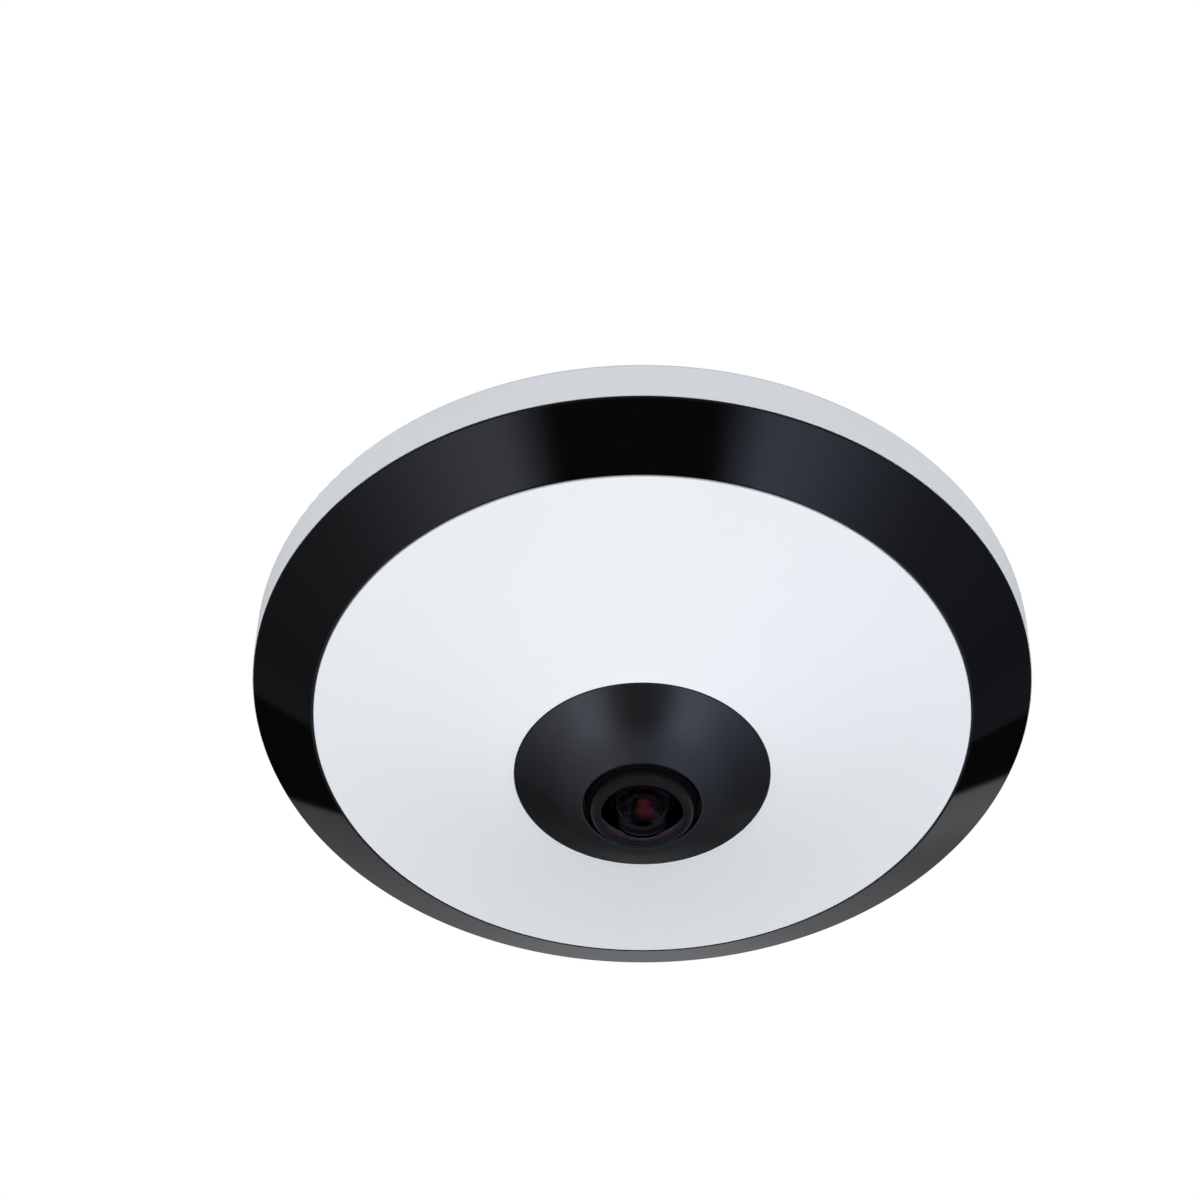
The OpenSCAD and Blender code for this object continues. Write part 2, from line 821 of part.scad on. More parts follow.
module sensor_board() {
    color("darkgreen") hang() difference() {
        translate([0, 0, sensor_rear])
            rounded_block(sensor_board_w, sensor_board_w, sensor_board_t, sensor_corner);
        at_sensor_holes() drum(small_screw_r + slide_gap, sensor_rear - over,
            sensor_front + over);
        for (i = [-1, 1]) translate([i * ear_at, 0, 0])
            drum(small_screw_r + slide_gap, sensor_rear - over, sensor_front + over);
    }
}

module sensor_board_screws() {
    color("silver") hang() at_sensor_holes()
        screw(small_screw_r, sensor_board_t + board_space + main_board_t / 2, small_head_r,
            small_head_h, sensor_front, -1);
}

module image_sensor() {
    color("darkslategray") hang() difference() {
        translate([0, 0, sensor_front]) block(sensor_w, sensor_w, sensor_h);
        translate([0, 0, sensor_front + sensor_h / 2])
            block(window_w, window_w, sensor_h);
    }
}

module sensor_glass() {
    color("lightcyan") hang() translate([0, 0, sensor_front + sensor_h])
        block(sensor_glass_w, sensor_glass_w, sensor_glass_t);
}

// Lens holder with the filter chamber

module lens_holder() {
    box_x = chamber_half_x + holder_wall;
    box_y = chamber_half_y + holder_wall;
    color("black") hang() difference() {
        union() {
            translate([0, 0, sensor_front])
                block(2 * box_x, 2 * box_y, plate_front - sensor_front);
            translate([-pocket_half_x - holder_wall, 0, sensor_front])
                cube([2 * (pocket_half_x + holder_wall), pocket_end_y,
                    plate_front - sensor_front]);
            for (i = [-1, 1]) {
                translate([i * ear_at, 0, 0]) drum(ear_r, sensor_front, sensor_front + ear_h);
                translate([i * (box_x + ear_at) / 2, 0, sensor_front])
                    block(ear_at - box_x, 2 * ear_r, ear_h);
            }
            drum(thread_r + holder_tube_wall, plate_front - holder_plate_t / 2, holder_front);
        }
        difference() {
            translate([0, 0, sensor_front - over])
                block(2 * chamber_half_x, 2 * chamber_half_y,
                    plate_rear - sensor_front + over);
            for (j = [-1, 1])
                translate([0, j * (chamber_half_y - rail_w / 2), carriage_front + slide_gap])
                    block(2 * box_x, rail_w, plate_front);
        }
        translate([-pocket_half_x, chamber_half_y - rail_w - over, sensor_front - over])
            cube([2 * pocket_half_x, pocket_end_y, plate_rear - sensor_front + over]);
        drum(thread_r + fit / 2, lens_rear - lens_clear / 2, holder_front + over);
        drum(thread_r - holder_wall, plate_rear - over, plate_front + over);
        for (i = [-1, 1]) translate([i * ear_at, 0, 0])
            drum(small_screw_r + fit, sensor_front - over, sensor_front + ear_h - slide_gap);
        translate([0, rotor_y, 0])
            drum(rotor_pin_r + fit / 5, plate_rear - over, plate_front - holder_plate_t / 4);
    }
}

module holder_screws() {
    color("silver") hang() for (i = [-1, 1]) translate([i * ear_at, 0, 0])
        screw(small_screw_r, sensor_board_t + ear_h * 3 / 4, small_head_r, small_head_h,
            sensor_rear, 1);
}

module filter_tray() {
    color("dimgray") hang() difference() {
        translate([0, 0, tray_rear])
            block(2 * (chamber_half_x - fit), 2 * (chamber_half_y - fit), tray_t);
        translate([0, 0, tray_rear - over]) block(window_w, window_w, tray_t + 2 * over);
    }
}

// The slide's day window lies on the axis at rest, and its night window beside it
module filter_carriage() {
    left = -window_frame;
    right = window_pitch + window_frame;
    color("dimgray") hang() difference() {
        union() {
            translate([left, -carriage_half_y, carriage_rear])
                cube([right - left, 2 * carriage_half_y, carriage_t]);
            translate([filter_travel / 2 - tab_half_w, 0, carriage_rear])
                cube([2 * tab_half_w, pin_far_y + arm_pin_r + arm_pin_gap + tab_end_wall,
                    carriage_t]);
        }
        for (x = [0, window_pitch])
            translate([x, 0, carriage_rear - over]) block(window_w, window_w, carriage_t
                + 2 * over);
        translate([filter_travel / 2 - arm_pin_r - arm_pin_gap,
            pin_near_y - arm_pin_r - arm_pin_gap, carriage_rear - over])
            cube([2 * (arm_pin_r + arm_pin_gap),
                pin_far_y - pin_near_y + 2 * (arm_pin_r + arm_pin_gap),
                carriage_t + 2 * over]);
    }
}

filter_glass_t = 0.5;

module filter_glass(x) {
    translate([x, 0, carriage_rear + (carriage_t - filter_glass_t) / 2])
        block(window_w, window_w, filter_glass_t);
}

module ir_cut_glass() {
    color("lightblue", 0.6) hang() filter_glass(0);
}

module clear_glass() {
    color("white", 0.4) hang() filter_glass(window_pitch);
}

// Lever at rest: turned so that its pin stands half a travel from the middle
module filter_arm() {
    color("ivory") hang() translate([0, rotor_y, 0]) rotate([0, 0, arm_swing]) difference() {
        union() {
            drum(arm_hub_r, arm_rear, arm_front);
            translate([-arm_half_w, -arm_l, arm_rear]) cube([2 * arm_half_w, arm_l, arm_t]);
            translate([0, -arm_l, 0]) drum(arm_half_w, arm_rear, arm_front);
            translate([0, -arm_l, 0]) drum(arm_pin_r, carriage_rear, arm_front);
        }
        drum(rotor_pin_r + rotor_bore_gap, arm_rear - over, arm_front + over);
    }
}

module filter_rotor() {
    color("silver") hang() translate([0, rotor_y, 0]) difference() {
        drum(rotor_r, rotor_rear, rotor_front);
        drum(rotor_pin_r + rotor_bore_gap, rotor_rear - over, rotor_front + over);
    }
}

module rotor_pin() {
    color("silver") hang() translate([0, rotor_y, 0])
        drum(rotor_pin_r, sensor_front, plate_front - holder_plate_t / 4);
}

module filter_yoke() {
    color("gray") hang() translate([0, 0, yoke_mid - yoke_t / 2]) {
        for (i = [-1, 1]) translate([i * (yoke_half_x + yoke_t / 2), 0, 0])
            translate([-yoke_t / 2, rotor_y - rotor_r, 0])
                cube([yoke_t, coil_y + yoke_t / 2 - rotor_y + rotor_r, yoke_t]);
        translate([-yoke_half_x - yoke_t, coil_y - yoke_t / 2, 0])
            cube([2 * (yoke_half_x + yoke_t), yoke_t, yoke_t]);
    }
}

module filter_coil() {
    half = yoke_half_x - fit;
    core = yoke_t + 2 * fit;
    color("peru") hang() difference() {
        union() {
            translate([-half, coil_y, yoke_mid]) rotate([0, 90, 0])
                cylinder(r = coil_r - coil_lip, h = 2 * half);
            for (i = [-1, 1]) translate([i * (half - coil_flange_t / 2), coil_y, sensor_front])
                block(coil_flange_t, 2 * coil_r, yoke_mid + coil_r - sensor_front);
        }
        translate([0, coil_y, yoke_mid - core / 2]) block(2 * half + 2 * over, core, core);
    }
}

// Lens

module lens_barrel() {
    head_r = lens_head_d / 2;
    color("black") hang() difference() {
        union() {
            drum(thread_r, lens_rear, head_rear + over);
            rotate_extrude() polygon([
                [0, head_rear], [head_r - rear_lip_w, head_rear],
                [head_r, head_rear + rear_lip_w], [head_r, head_front - rear_lip_w],
                [head_r - rear_lip_w, head_front], [0, head_front]
            ]);
        }
        drum(bore_narrow_r, lens_rear + rear_lip_t, bore_step + over);
        drum(bore_narrow_r - rear_lip_w, lens_rear - over, bore_step);
        drum(bore_wide_r, bore_step, front_glass_rear + over);
        drum(front_glass_r + fit, front_glass_rear, head_front + over);
        drum(front_glass_r + retainer_wall, head_front - retainer_h, head_front + over);
    }
}

module lock_ring() {
    color("dimgray") hang() difference() {
        drum(thread_r + lock_wall, holder_front, holder_front + lock_t);
        drum(thread_r + fit / 2, holder_front - over, holder_front + lock_t + over);
        for (i = [0 : lock_notches - 1]) rotate([0, 0, i * 360 / lock_notches])
            translate([thread_r + lock_wall, 0, 0])
                drum(lock_notch_r, holder_front - over, holder_front + lock_t + over);
    }
}

module front_glass_section() {
    difference() {
        intersection() {
            translate([0, front_glass_rear])
                square([front_glass_r, lens_tip - front_glass_rear]);
            translate([0, dome_centre]) circle(dome_r, $fn = 180);
        }
        intersection() {
            translate([0, front_glass_rear
                - sqrt(front_hollow_r * front_hollow_r - front_hollow_rim_r * front_hollow_rim_r)])
                circle(front_hollow_r);
            translate([0, front_glass_rear - over]) square([front_hollow_r, front_hollow_r]);
        }
    }
}

module lens_front_element() {
    color("lightcyan", 0.4) hang() rotate_extrude() front_glass_section();
}

module lens_second_element() {
    top = front_glass_rear - fit;
    color("lightcyan", 0.4) hang() rotate_extrude() difference() {
        translate([0, top - second_t]) square([bore_wide_r - fit, second_t]);
        translate([0, top + second_bend_r - second_sag]) circle(second_bend_r);
    }
}

module lens_spacer() {
    color("black") hang() difference() {
        drum(bore_narrow_r - fit, stop_rear() + stop_t, front_glass_rear - fit - second_t);
        drum(bore_narrow_r - rear_lip_w, stop_rear(), head_front);
    }
}

function stop_rear() = lens_rear + rear_lip_t + 2 * rear_glass_t;

module aperture_stop() {
    color("black") hang() difference() {
        drum(bore_narrow_r - fit, stop_rear(), stop_rear() + stop_t);
        drum(stop_hole_r, stop_rear() - over, stop_rear() + stop_t + over);
    }
}

module lens_rear_elements() {
    color("lightcyan", 0.4) hang() for (i = [0, 1])
        rotate_extrude() intersection() {
            translate([0, lens_rear + rear_lip_t + i * rear_glass_t])
                square([bore_narrow_r - fit, rear_glass_t]);
            translate([0, lens_rear + rear_lip_t + i * rear_glass_t
                + (i > 0 ? rear_bend_r : rear_glass_t - rear_bend_r)])
                circle(rear_bend_r);
        }
}

module lens_retaining_ring() {
    inner_r = glass_d / 2;
    outer_r = front_glass_r + retainer_wall - fit;
    rear = head_front - retainer_h + fit;
    color("black") hang() rotate_extrude() difference() {
        polygon([
            [inner_r, rear], [outer_r, rear], [outer_r, bezel_front + retainer_out],
            [outer_r - retainer_wall / 2, glass_rim + retainer_wall / 4], [inner_r, glass_rim]
        ]);
        translate([0, dome_centre]) circle(dome_r + fit / 2, $fn = 180);
        translate([0, rear - over])
            square([front_glass_r + fit, front_edge_depth() - rear + over]);
    }
}

// Depth at which the front glass's edge meets its dome
function front_edge_depth() = dome_centre + sqrt(dome_r * dome_r
    - front_glass_r * front_glass_r);

module lens_gasket() {
    gasket_front = bezel_front - bezel_lip_h;
    color("dimgray") hang() difference() {
        drum(lens_head_d / 2 + fit + gasket_w, gasket_front - gasket_t, gasket_front);
        drum(lens_head_d / 2 + fit, gasket_front - gasket_t - over, gasket_front + over);
    }
}

// Lamp board

module led_board() {
    color("darkgreen") hang() difference() {
        drum(led_board_r, led_board_rear, led_board_front);
        drum(led_board_r - led_board_w, led_board_rear - over, led_board_front + over);
        around(led_screw_angles, led_mid_r)
            drum(small_screw_r + slide_gap, led_board_rear - over, led_board_front + over);
    }
}

module ir_leds() {
    color("lemonchiffon") hang() around(led_angles, led_mid_r)
        translate([0, 0, led_board_front]) {
            block(led_w, led_w, led_base_h);
            intersection() {
                translate([0, 0, led_base_h]) sphere(led_dome_r);
                drum(led_w / 2, led_base_h / 2, led_base_h + led_dome_r);
            }
        }
}

module light_sensor() {
    color("black") hang() around([light_sensor_angle], led_mid_r)
        translate([0, 0, led_board_front]) block(light_sensor_size.x, light_sensor_size.y, led_base_h);
}

module led_board_screws() {
    color("silver") hang() around(led_screw_angles, led_mid_r)
        screw(small_screw_r, led_screw_l, small_head_r, small_head_h, led_board_front, -1);
}

module led_flex() {
    color("orange") hang() rotate([0, 0, 180]) translate([0, flex_w / 2, 0])
        rotate([90, 0, 0]) linear_extrude(flex_w) polygon([
            [flex_main_end - flex_seat, board_front], [flex_main_end, board_front],
            [flex_lamp_end, led_board_front], [flex_lamp_end + flex_seat, led_board_front],
            [flex_lamp_end + flex_seat, led_board_front + flex_t],
            [flex_lamp_end + flex_t / 2, led_board_front + flex_t],
            [flex_main_end + flex_t / 2, board_front + flex_t],
            [flex_main_end - flex_seat, board_front + flex_t]
        ]);
}

module flex_connectors() {
    color("ivory") hang() rotate([0, 0, 180]) {
        translate([flex_main_end - flex_seat, 0, board_front + flex_t])
            block(connector_l, flex_w + connector_h, connector_h);
        translate([flex_lamp_end + flex_seat - connector_l / 2, 0, led_board_front + flex_t])
            block(connector_l, flex_w + connector_h, connector_h);
    }
}

// Window ring, cover and bezel

module ring_section() {
    slope = [cos(ring_slope), -sin(ring_slope)];
    normal = [sin(ring_slope), cos(ring_slope)];
    inner = edge_point - ring_t * normal;
    flange_rear = ring_flange_front - ring_flange_t;
    lip_r = body_d / 2 - rebate_w - fit;
    lip_in = lip_r - ring_lip_w;
    polygon([
        [ring_edge_r, skirt_edge], [ring_edge_r, ring_edge], edge_point,
        [cover_d / 2, ring_flange_front], [cover_d / 2 - ring_flange_w, ring_flange_front],
        [cover_d / 2 - ring_flange_w, flange_rear],
        inner + slope * (inner.y - flange_rear) / sin(ring_slope),
        inner + slope * (lip_in - inner.x) / cos(ring_slope),
        [lip_in, rebate_depth + fit], [lip_r, rebate_depth + fit], [lip_r, skirt_edge]
    ]);
}

module ir_window_ring() {
    color([0.05, 0.05, 0.06]) hang() rotate_extrude($fn = 180) ring_section();
}

cover_rim_gap = 0.1;
cover_rib_t = 1;
cover_rib_h = 1.5;
rib_end_gap = 1.2;

module cover_posts() {
    intersection() {
        union() {
            around(cover_post_angles, cover_post_at) drum(cover_post_r, cup_front, bezel_base);
            around(bezel_ear_angles, bezel_ear_at)
                drum(bezel_ear_r, collar_rear, bezel_base);
        }
        rotate_extrude($fn = 180)
            cover_mass(cover_t / 2, 0, cover_d / 2 - cover_rim_gap, 0);
    }
}

module cover_rib_band() {
    rotate_extrude($fn = 180) difference() {
        cover_mass(cover_t / 2, bezel_ear_at + bezel_ear_r + rib_end_gap,
            cover_d / 2 - ring_flange_w - rib_end_gap, floor_front);
        cover_mass(cover_t + cover_rib_h, 0, cover_d / 2, 0);
    }
}

module front_cover() {
    r_out = cover_d / 2 - cover_rim_gap;
    color("whitesmoke") hang() difference() {
        union() {
            rotate_extrude($fn = 180) difference() {
                cover_mass(0, bezel_d / 2, r_out, floor_front);
                cover_mass(cover_t, 0, body_d, 0);
            }
            rotate_extrude($fn = 180)
                cover_mass(cover_t / 2, bezel_d / 2, bezel_d / 2 + collar_t, collar_rear);
            intersection() {
                cover_rib_band();
                union() for (i = [0 : cover_ribs - 1])
                    rotate([0, 0, (i + 0.5) * 360 / cover_ribs])
                        translate([0, -cover_rib_t / 2, 0])
                            cube([cover_d / 2, cover_rib_t, bezel_base]);
            }
            cover_posts();
        }
        around(cover_post_angles, cover_post_at)
            drum(cover_screw_r + fit, cup_front - over, cup_front + cover_screw_l + pilot_extra);
        around(bezel_ear_angles, bezel_ear_at)
            drum(bezel_screw_r + fit, collar_rear - over, collar_rear + bezel_screw_l + fit);
    }
}

// The cone's outer face is straight, its inner face lies one wall behind it
module bezel_section() {
    base_r = bezel_d / 2 - fit;
    front_r = bezel_front_d / 2;
    rim_r = front_r + bezel_rim_round;
    wall = bezel_t / cos(bezel_slope);
    lip_rear = bezel_front - bezel_lip_h;
    bore_r = lens_head_d / 2 + fit + gasket_w + fit;
    flange_rear = collar_rear - bezel_flange_t;
    difference() {
        polygon([
            [neck_r - bezel_t, flange_rear], [bezel_flange_r, flange_rear],
            [bezel_flange_r, collar_rear], [neck_r, collar_rear], [neck_r, bezel_base - fit],
            [base_r, bezel_base], [front_r, bezel_front], [front_r, lip_rear],
            [bore_r, lip_rear], [bore_r, lip_rear - gasket_t],
            [neck_r - bezel_t, bezel_base - wall]
        ]);
        translate([front_r - over, bezel_front - bezel_rim_round / 2])
            square([2 * bezel_rim_round, bezel_rim_round]);
    }
}

module lens_bezel() {
    color([0.12, 0.12, 0.13]) hang() difference() {
        union() {
            rotate_extrude($fn = 180) bezel_section();
            around(bezel_ear_angles, bezel_ear_at)
                drum(bezel_ear_r, collar_rear - bezel_flange_t, collar_rear);
            around(bezel_ear_angles, (bezel_ear_at + bezel_flange_r) / 2 - bezel_flange_t)
                translate([0, 0, collar_rear - bezel_flange_t])
                    block(bezel_ear_at - bezel_flange_r + bezel_flange_t, 2 * bezel_ear_r,
                        bezel_flange_t);
        }
        around(bezel_ear_angles, bezel_ear_at)
            drum(bezel_screw_r + slide_gap, collar_rear - bezel_flange_t - over,
                collar_rear + over);
    }
}

module bezel_screws() {
    color("silver") hang() around(bezel_ear_angles, bezel_ear_at)
        screw(bezel_screw_r, bezel_flange_t + bezel_screw_l, bezel_head_r, bezel_head_h,
            collar_rear - bezel_flange_t, 1);
}

mounting_plate();
base_housing();
cable_grommet();
cover_screws();
heat_spreader();
thermal_pad();
processor();
memory_chips();
main_board();
board_screws();
reset_button();
switch_plunger();
reset_switch();
card_socket();
network_header();
power_header();
ethernet_transformer();
poe_transformer();
power_coils();
capacitors();
backup_battery();
board_spacers();
board_connector();
sensor_board();
sensor_board_screws();
image_sensor();
sensor_glass();
lens_holder();
holder_screws();
filter_tray();
filter_carriage();
ir_cut_glass();
clear_glass();
filter_arm();
filter_rotor();
rotor_pin();
filter_yoke();
filter_coil();
lens_barrel();
lock_ring();
lens_front_element();
lens_second_element();
lens_spacer();
aperture_stop();
lens_rear_elements();
lens_retaining_ring();
lens_gasket();
led_board();
ir_leds();
light_sensor();
led_board_screws();
led_flex();
flex_connectors();
ir_window_ring();
front_cover();
lens_bezel();
bezel_screws();
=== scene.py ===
"""Ceiling camera with a fisheye lens: its finishes and fine shapes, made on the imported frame.

The frame's lengths are metres. Turned pieces are drawn in millimetres, as corners of radius, depth
below the ceiling and rounding, because that is how such a piece is drawn.
"""

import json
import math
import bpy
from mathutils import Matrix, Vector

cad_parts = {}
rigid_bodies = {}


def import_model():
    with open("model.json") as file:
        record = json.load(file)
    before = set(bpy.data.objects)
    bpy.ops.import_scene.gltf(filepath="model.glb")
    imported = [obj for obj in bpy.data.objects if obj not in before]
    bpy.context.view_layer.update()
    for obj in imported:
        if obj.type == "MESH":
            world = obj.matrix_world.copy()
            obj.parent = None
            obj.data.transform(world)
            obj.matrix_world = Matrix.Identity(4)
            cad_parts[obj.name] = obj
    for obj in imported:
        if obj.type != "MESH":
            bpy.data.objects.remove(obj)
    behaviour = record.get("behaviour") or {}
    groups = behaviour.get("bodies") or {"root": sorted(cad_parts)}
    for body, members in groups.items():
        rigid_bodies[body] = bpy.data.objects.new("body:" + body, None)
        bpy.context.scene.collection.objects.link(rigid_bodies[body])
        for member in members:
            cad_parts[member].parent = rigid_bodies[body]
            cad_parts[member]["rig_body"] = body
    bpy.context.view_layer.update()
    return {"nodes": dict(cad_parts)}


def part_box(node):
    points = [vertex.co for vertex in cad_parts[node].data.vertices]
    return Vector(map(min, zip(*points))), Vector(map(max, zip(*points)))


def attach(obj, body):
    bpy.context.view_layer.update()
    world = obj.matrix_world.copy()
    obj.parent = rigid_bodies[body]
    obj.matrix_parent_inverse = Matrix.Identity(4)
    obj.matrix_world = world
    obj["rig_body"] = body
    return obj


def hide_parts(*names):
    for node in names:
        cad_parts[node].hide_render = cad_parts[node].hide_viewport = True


bl_info = {
    "name": "Ceiling fisheye camera",
    "version": (1, 0, 0),
    "blender": (4, 5, 0),
    "location": "3D View > Sidebar > Ceiling camera",
    "description": "Dresses the packed frame of a ceiling camera with a fisheye lens",
    "category": "Object",
}

import bmesh
import bpy
from bpy.props import FloatProperty, FloatVectorProperty, IntProperty, PointerProperty
from mathutils import Matrix, Vector

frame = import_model()

MM = 0.001
MERGE = 0.0002 * MM   # points closer than this are one
CAMERA = "camera"   # the body that turns with the housing
RINGS_PER_TURN = 6   # of a screw's thread


def front_depth(node):
    """Depth of a node's lowest point below the ceiling, in millimetres."""
    return -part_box(node)[0].z / MM


def outer_radius(node):
    """Largest radius that a node reaches along X, in millimetres."""
    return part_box(node)[1].x / MM


# Sizes that the frame already holds
SKIRT_R = outer_radius("base_housing")
RING_R = outer_radius("ir_window_ring")
COVER_R = outer_radius("front_cover")
COVER_EDGE = front_depth("ir_window_ring")
BEZEL_BASE = front_depth("front_cover")
BEZEL_FRONT = front_depth("lens_bezel")
HEAD_FRONT = front_depth("lens_barrel")
HEAD_R = outer_radius("lens_barrel")
LENS_TIP = front_depth("lens_front_element")
OPENING = BEZEL_FRONT + 0.25
BEZEL_DROP = OPENING - BEZEL_BASE
GLASS_RIM = LENS_TIP - 2.7

# Sizes that more than one piece is drawn with, in millimetres
COVER_WALL = 2.1
EDGE_SLOPE = math.radians(12)
NECK_HOLE_R = 20.3
COLLAR_REAR = BEZEL_BASE - 6.6
MOUTH_R = 9.3
COVER_POST_R, BEZEL_POST_R = 44.6, 26.5
COVER_POST_ANGLES, BEZEL_POST_ANGLES = (90, 210, 330), (30, 150, 270)
EAR_REAR, EAR_FRONT = 18.0, 19.4
BOARD_FRONT = 11.1
RING_MIDDLE = 9.4
HOUSING_ROUND = 0.8   # edges of the housing and the plate, as a share of the cover's


# Settings

def colour_setting(**row):
    """A colour that a user may change."""
    return FloatVectorProperty(size=3, min=0, max=1, subtype="COLOR", **row)


def length_setting(**row):
    """A length that a user may change."""
    return FloatProperty(unit="LENGTH", **row)


def power_setting(**row):
    """A lamp's power that a user may change."""
    return FloatProperty(min=0, max=60, unit="POWER", **row)


class CaseSettings(bpy.types.PropertyGroup):
    """Sizes and colours of the outer pieces"""
    edge_round: length_setting(
        name="Edge rounding", description="Radius on the edges of the white mouldings",
        default=0.3 * MM, min=0.05 * MM, max=0.6 * MM)
    ring_round: length_setting(
        name="Ring rounding", description="Radius on the edges of the dark window ring",
        default=0.22 * MM, min=0.05 * MM, max=0.35 * MM)
    rib_count: IntProperty(
        name="Ribs", description="Stiffening ribs inside the cover", default=18, min=6, max=24)
    shell: colour_setting(
        name="Shell colour", description="White of the housing and the cover",
        default=(0.816, 0.846, 0.874))
    plate: colour_setting(
        name="Plate colour", description="Colour of the mounting plate",
        default=(0.66, 0.67, 0.68))
    window: colour_setting(
        name="Window colour", description="Colour of the infrared window ring",
        default=(0.0028, 0.0028, 0.0027))
    bezel: colour_setting(
        name="Bezel colour", description="Colour of the cone round the lens",
        default=(0.100, 0.103, 0.105))


class LensSettings(bpy.types.PropertyGroup):
    """Sizes and colours of the lens"""
    thread_pitch: length_setting(
        name="Thread pitch", description="Pitch of the thread on the lens barrel",
        default=0.5 * MM, min=0.3 * MM, max=1 * MM)
    thread_depth: length_setting(
        name="Thread depth", description="Depth of the thread on the lens barrel",
        default=0.27 * MM, min=0.1 * MM, max=0.4 * MM)
    barrel: colour_setting(
        name="Barrel colour", description="Colour of the anodised lens barrel",
        default=(0.0018, 0.0018, 0.002))
    # coating and glow are the two colours of an emission in the inner glass: a painted reflection
    # of its coating, not a real glow.
    coating: colour_setting(
        name="Coating colour", description="Glow of the inner glass's coating, on the right",
        default=(0.055, 0.007, 0.022))
    glow: colour_setting(
        name="Glow colour", description="Glow of the inner glass's coating, on the left",
        default=(0.052, 0.013, 0.007))
    # The edge colour is the real blackening of the rim with a painted pink reflection of the
    # coating in it.
    edge: colour_setting(
        name="Edge colour", description="Colour of the blackened rim of the front glass",
        default=(0.105, 0.062, 0.095))


class FastenerSettings(bpy.types.PropertyGroup):
    """Sizes of the screws' details"""
    pitch_share: FloatProperty(
        name="Pitch", description="Thread pitch as a share of the shank's radius",
        default=0.42, min=0.2, max=0.8, subtype="FACTOR")
    recess_share: FloatProperty(
        name="Recess", description="Length of the cross recess as a share of the head's radius",
        default=1.1, min=0.6, max=1.5, subtype="FACTOR")


class BoardSettings(bpy.types.PropertyGroup):
    """Colours of the circuit boards"""
    mask: colour_setting(
        name="Board colour", description="Colour of the solder mask",
        default=(0.012, 0.075, 0.032))
    track: colour_setting(
        name="Track colour", description="Colour of the mask over the copper tracks",
        default=(0.03, 0.15, 0.06))


class StudioSettings(bpy.types.PropertyGroup):
    """Camera, lamps and backdrop"""
    distance: length_setting(
        name="Distance", description="From the camera to the window ring's middle",
        default=0.5, min=0.3, max=1)
    tilt: FloatProperty(
        name="Tilt", description="How steeply the camera looks up",
        default=math.radians(46.35), min=0.2, max=1.4, unit="ROTATION")
    focal: FloatProperty(
        name="Focal length", description="Focal length of the camera in millimetres",
        default=92.55, min=50, max=150)
    fill: FloatProperty(
        name="Fill", description="Brightness of the light from all sides",
        default=0.56, min=0, max=1, subtype="FACTOR")
    key_power: power_setting(
        name="Key lamp", description="Power of the lamp in front of the object", default=6.5)
    far_power: power_setting(
        name="Far lamp", description="Power of the lamp beyond the object", default=1.9)
    side_power: power_setting(
        name="Side lamps", description="Power of each lamp beside the object", default=4.0)
    floor_depth: length_setting(
        name="Floor", description="Depth of the floor below the ceiling",
        default=1.2, min=0.8, max=3)


# Node helpers

class Sheet:
    """Adds nodes to a tree; an input may be a value or another node's output."""

    def __init__(self, tree):
        self.tree = tree

    def set(self, socket, value):
        if isinstance(value, bpy.types.NodeSocket):
            self.tree.links.new(value, socket)
        else:
            socket.default_value = value

    def add(self, kind, inputs=(), **settings):
        """Adds a node; inputs maps names or numbers of sockets to values."""
        node = self.tree.nodes.new(kind)
        for key, value in settings.items():
            setattr(node, key, value)
        for key, value in dict(inputs).items():
            self.set(node.inputs[key], value)
        return node

    def out(self, kind, inputs=(), **settings):
        """Adds a node and gives its first output."""
        return self.add(kind, inputs, **settings).outputs[0]

    def math(self, operation, a, b=0.0, c=0.0):
        return self.out("ShaderNodeMath", {0: a, 1: b, 2: c}, operation=operation)

    def times(self, a, b):
        return self.math("MULTIPLY", a, b)

    def vector(self, operation, a, b=(0, 0, 0)):
        return self.out("ShaderNodeVectorMath", {0: a, 1: b}, operation=operation)

    def scaled(self, a, factor):
        return self.out("ShaderNodeVectorMath", {0: a, "Scale": factor}, operation="SCALE")

    def axis_distance(self, place):
        """Distance from the Z axis."""
        flat = self.vector("MULTIPLY", place, (1.0, 1.0, 0.0))
        return self.add("ShaderNodeVectorMath", {0: flat}, operation="LENGTH").outputs["Value"]

    def combined(self, **parts):
        return self.out("ShaderNodeCombineXYZ", parts)

    def object_place(self):
        return self.add("ShaderNodeTexCoord").outputs["Object"]

    def noise(self, place, scale, detail, roughness=0.5):
        return self.out("ShaderNodeTexNoise", {"Vector": place, "Scale": scale,
                                               "Detail": detail, "Roughness": roughness})

    def mix_colour(self, factor, a, b):
        return self.add("ShaderNodeMix", {0: factor, 6: a, 7: b}, data_type="RGBA").outputs[2]

    def ramp(self, value, low, high, to_low=0.0, to_high=1.0):
        return self.out("ShaderNodeMapRange", {0: value, 1: low, 2: high, 3: to_low, 4: to_high},
                        interpolation_type="SMOOTHSTEP")


def new_group(name, kind, inputs, outputs):
    """A node group with named sockets, and its two end nodes."""
    tree = bpy.data.node_groups.new(name, kind)
    for direction, rows in (("INPUT", inputs), ("OUTPUT", outputs)):
        for label, socket_type, *default in rows:
            socket = tree.interface.new_socket(label, in_out=direction, socket_type=socket_type)
            if default:
                socket.default_value = default[0]
    return tree, tree.nodes.new("NodeGroupInput"), tree.nodes.new("NodeGroupOutput")


FLOAT, COLOUR, COUNT = "NodeSocketFloat", "NodeSocketColor", "NodeSocketInt"
GEOMETRY, MATERIAL = "NodeSocketGeometry", "NodeSocketMaterial"


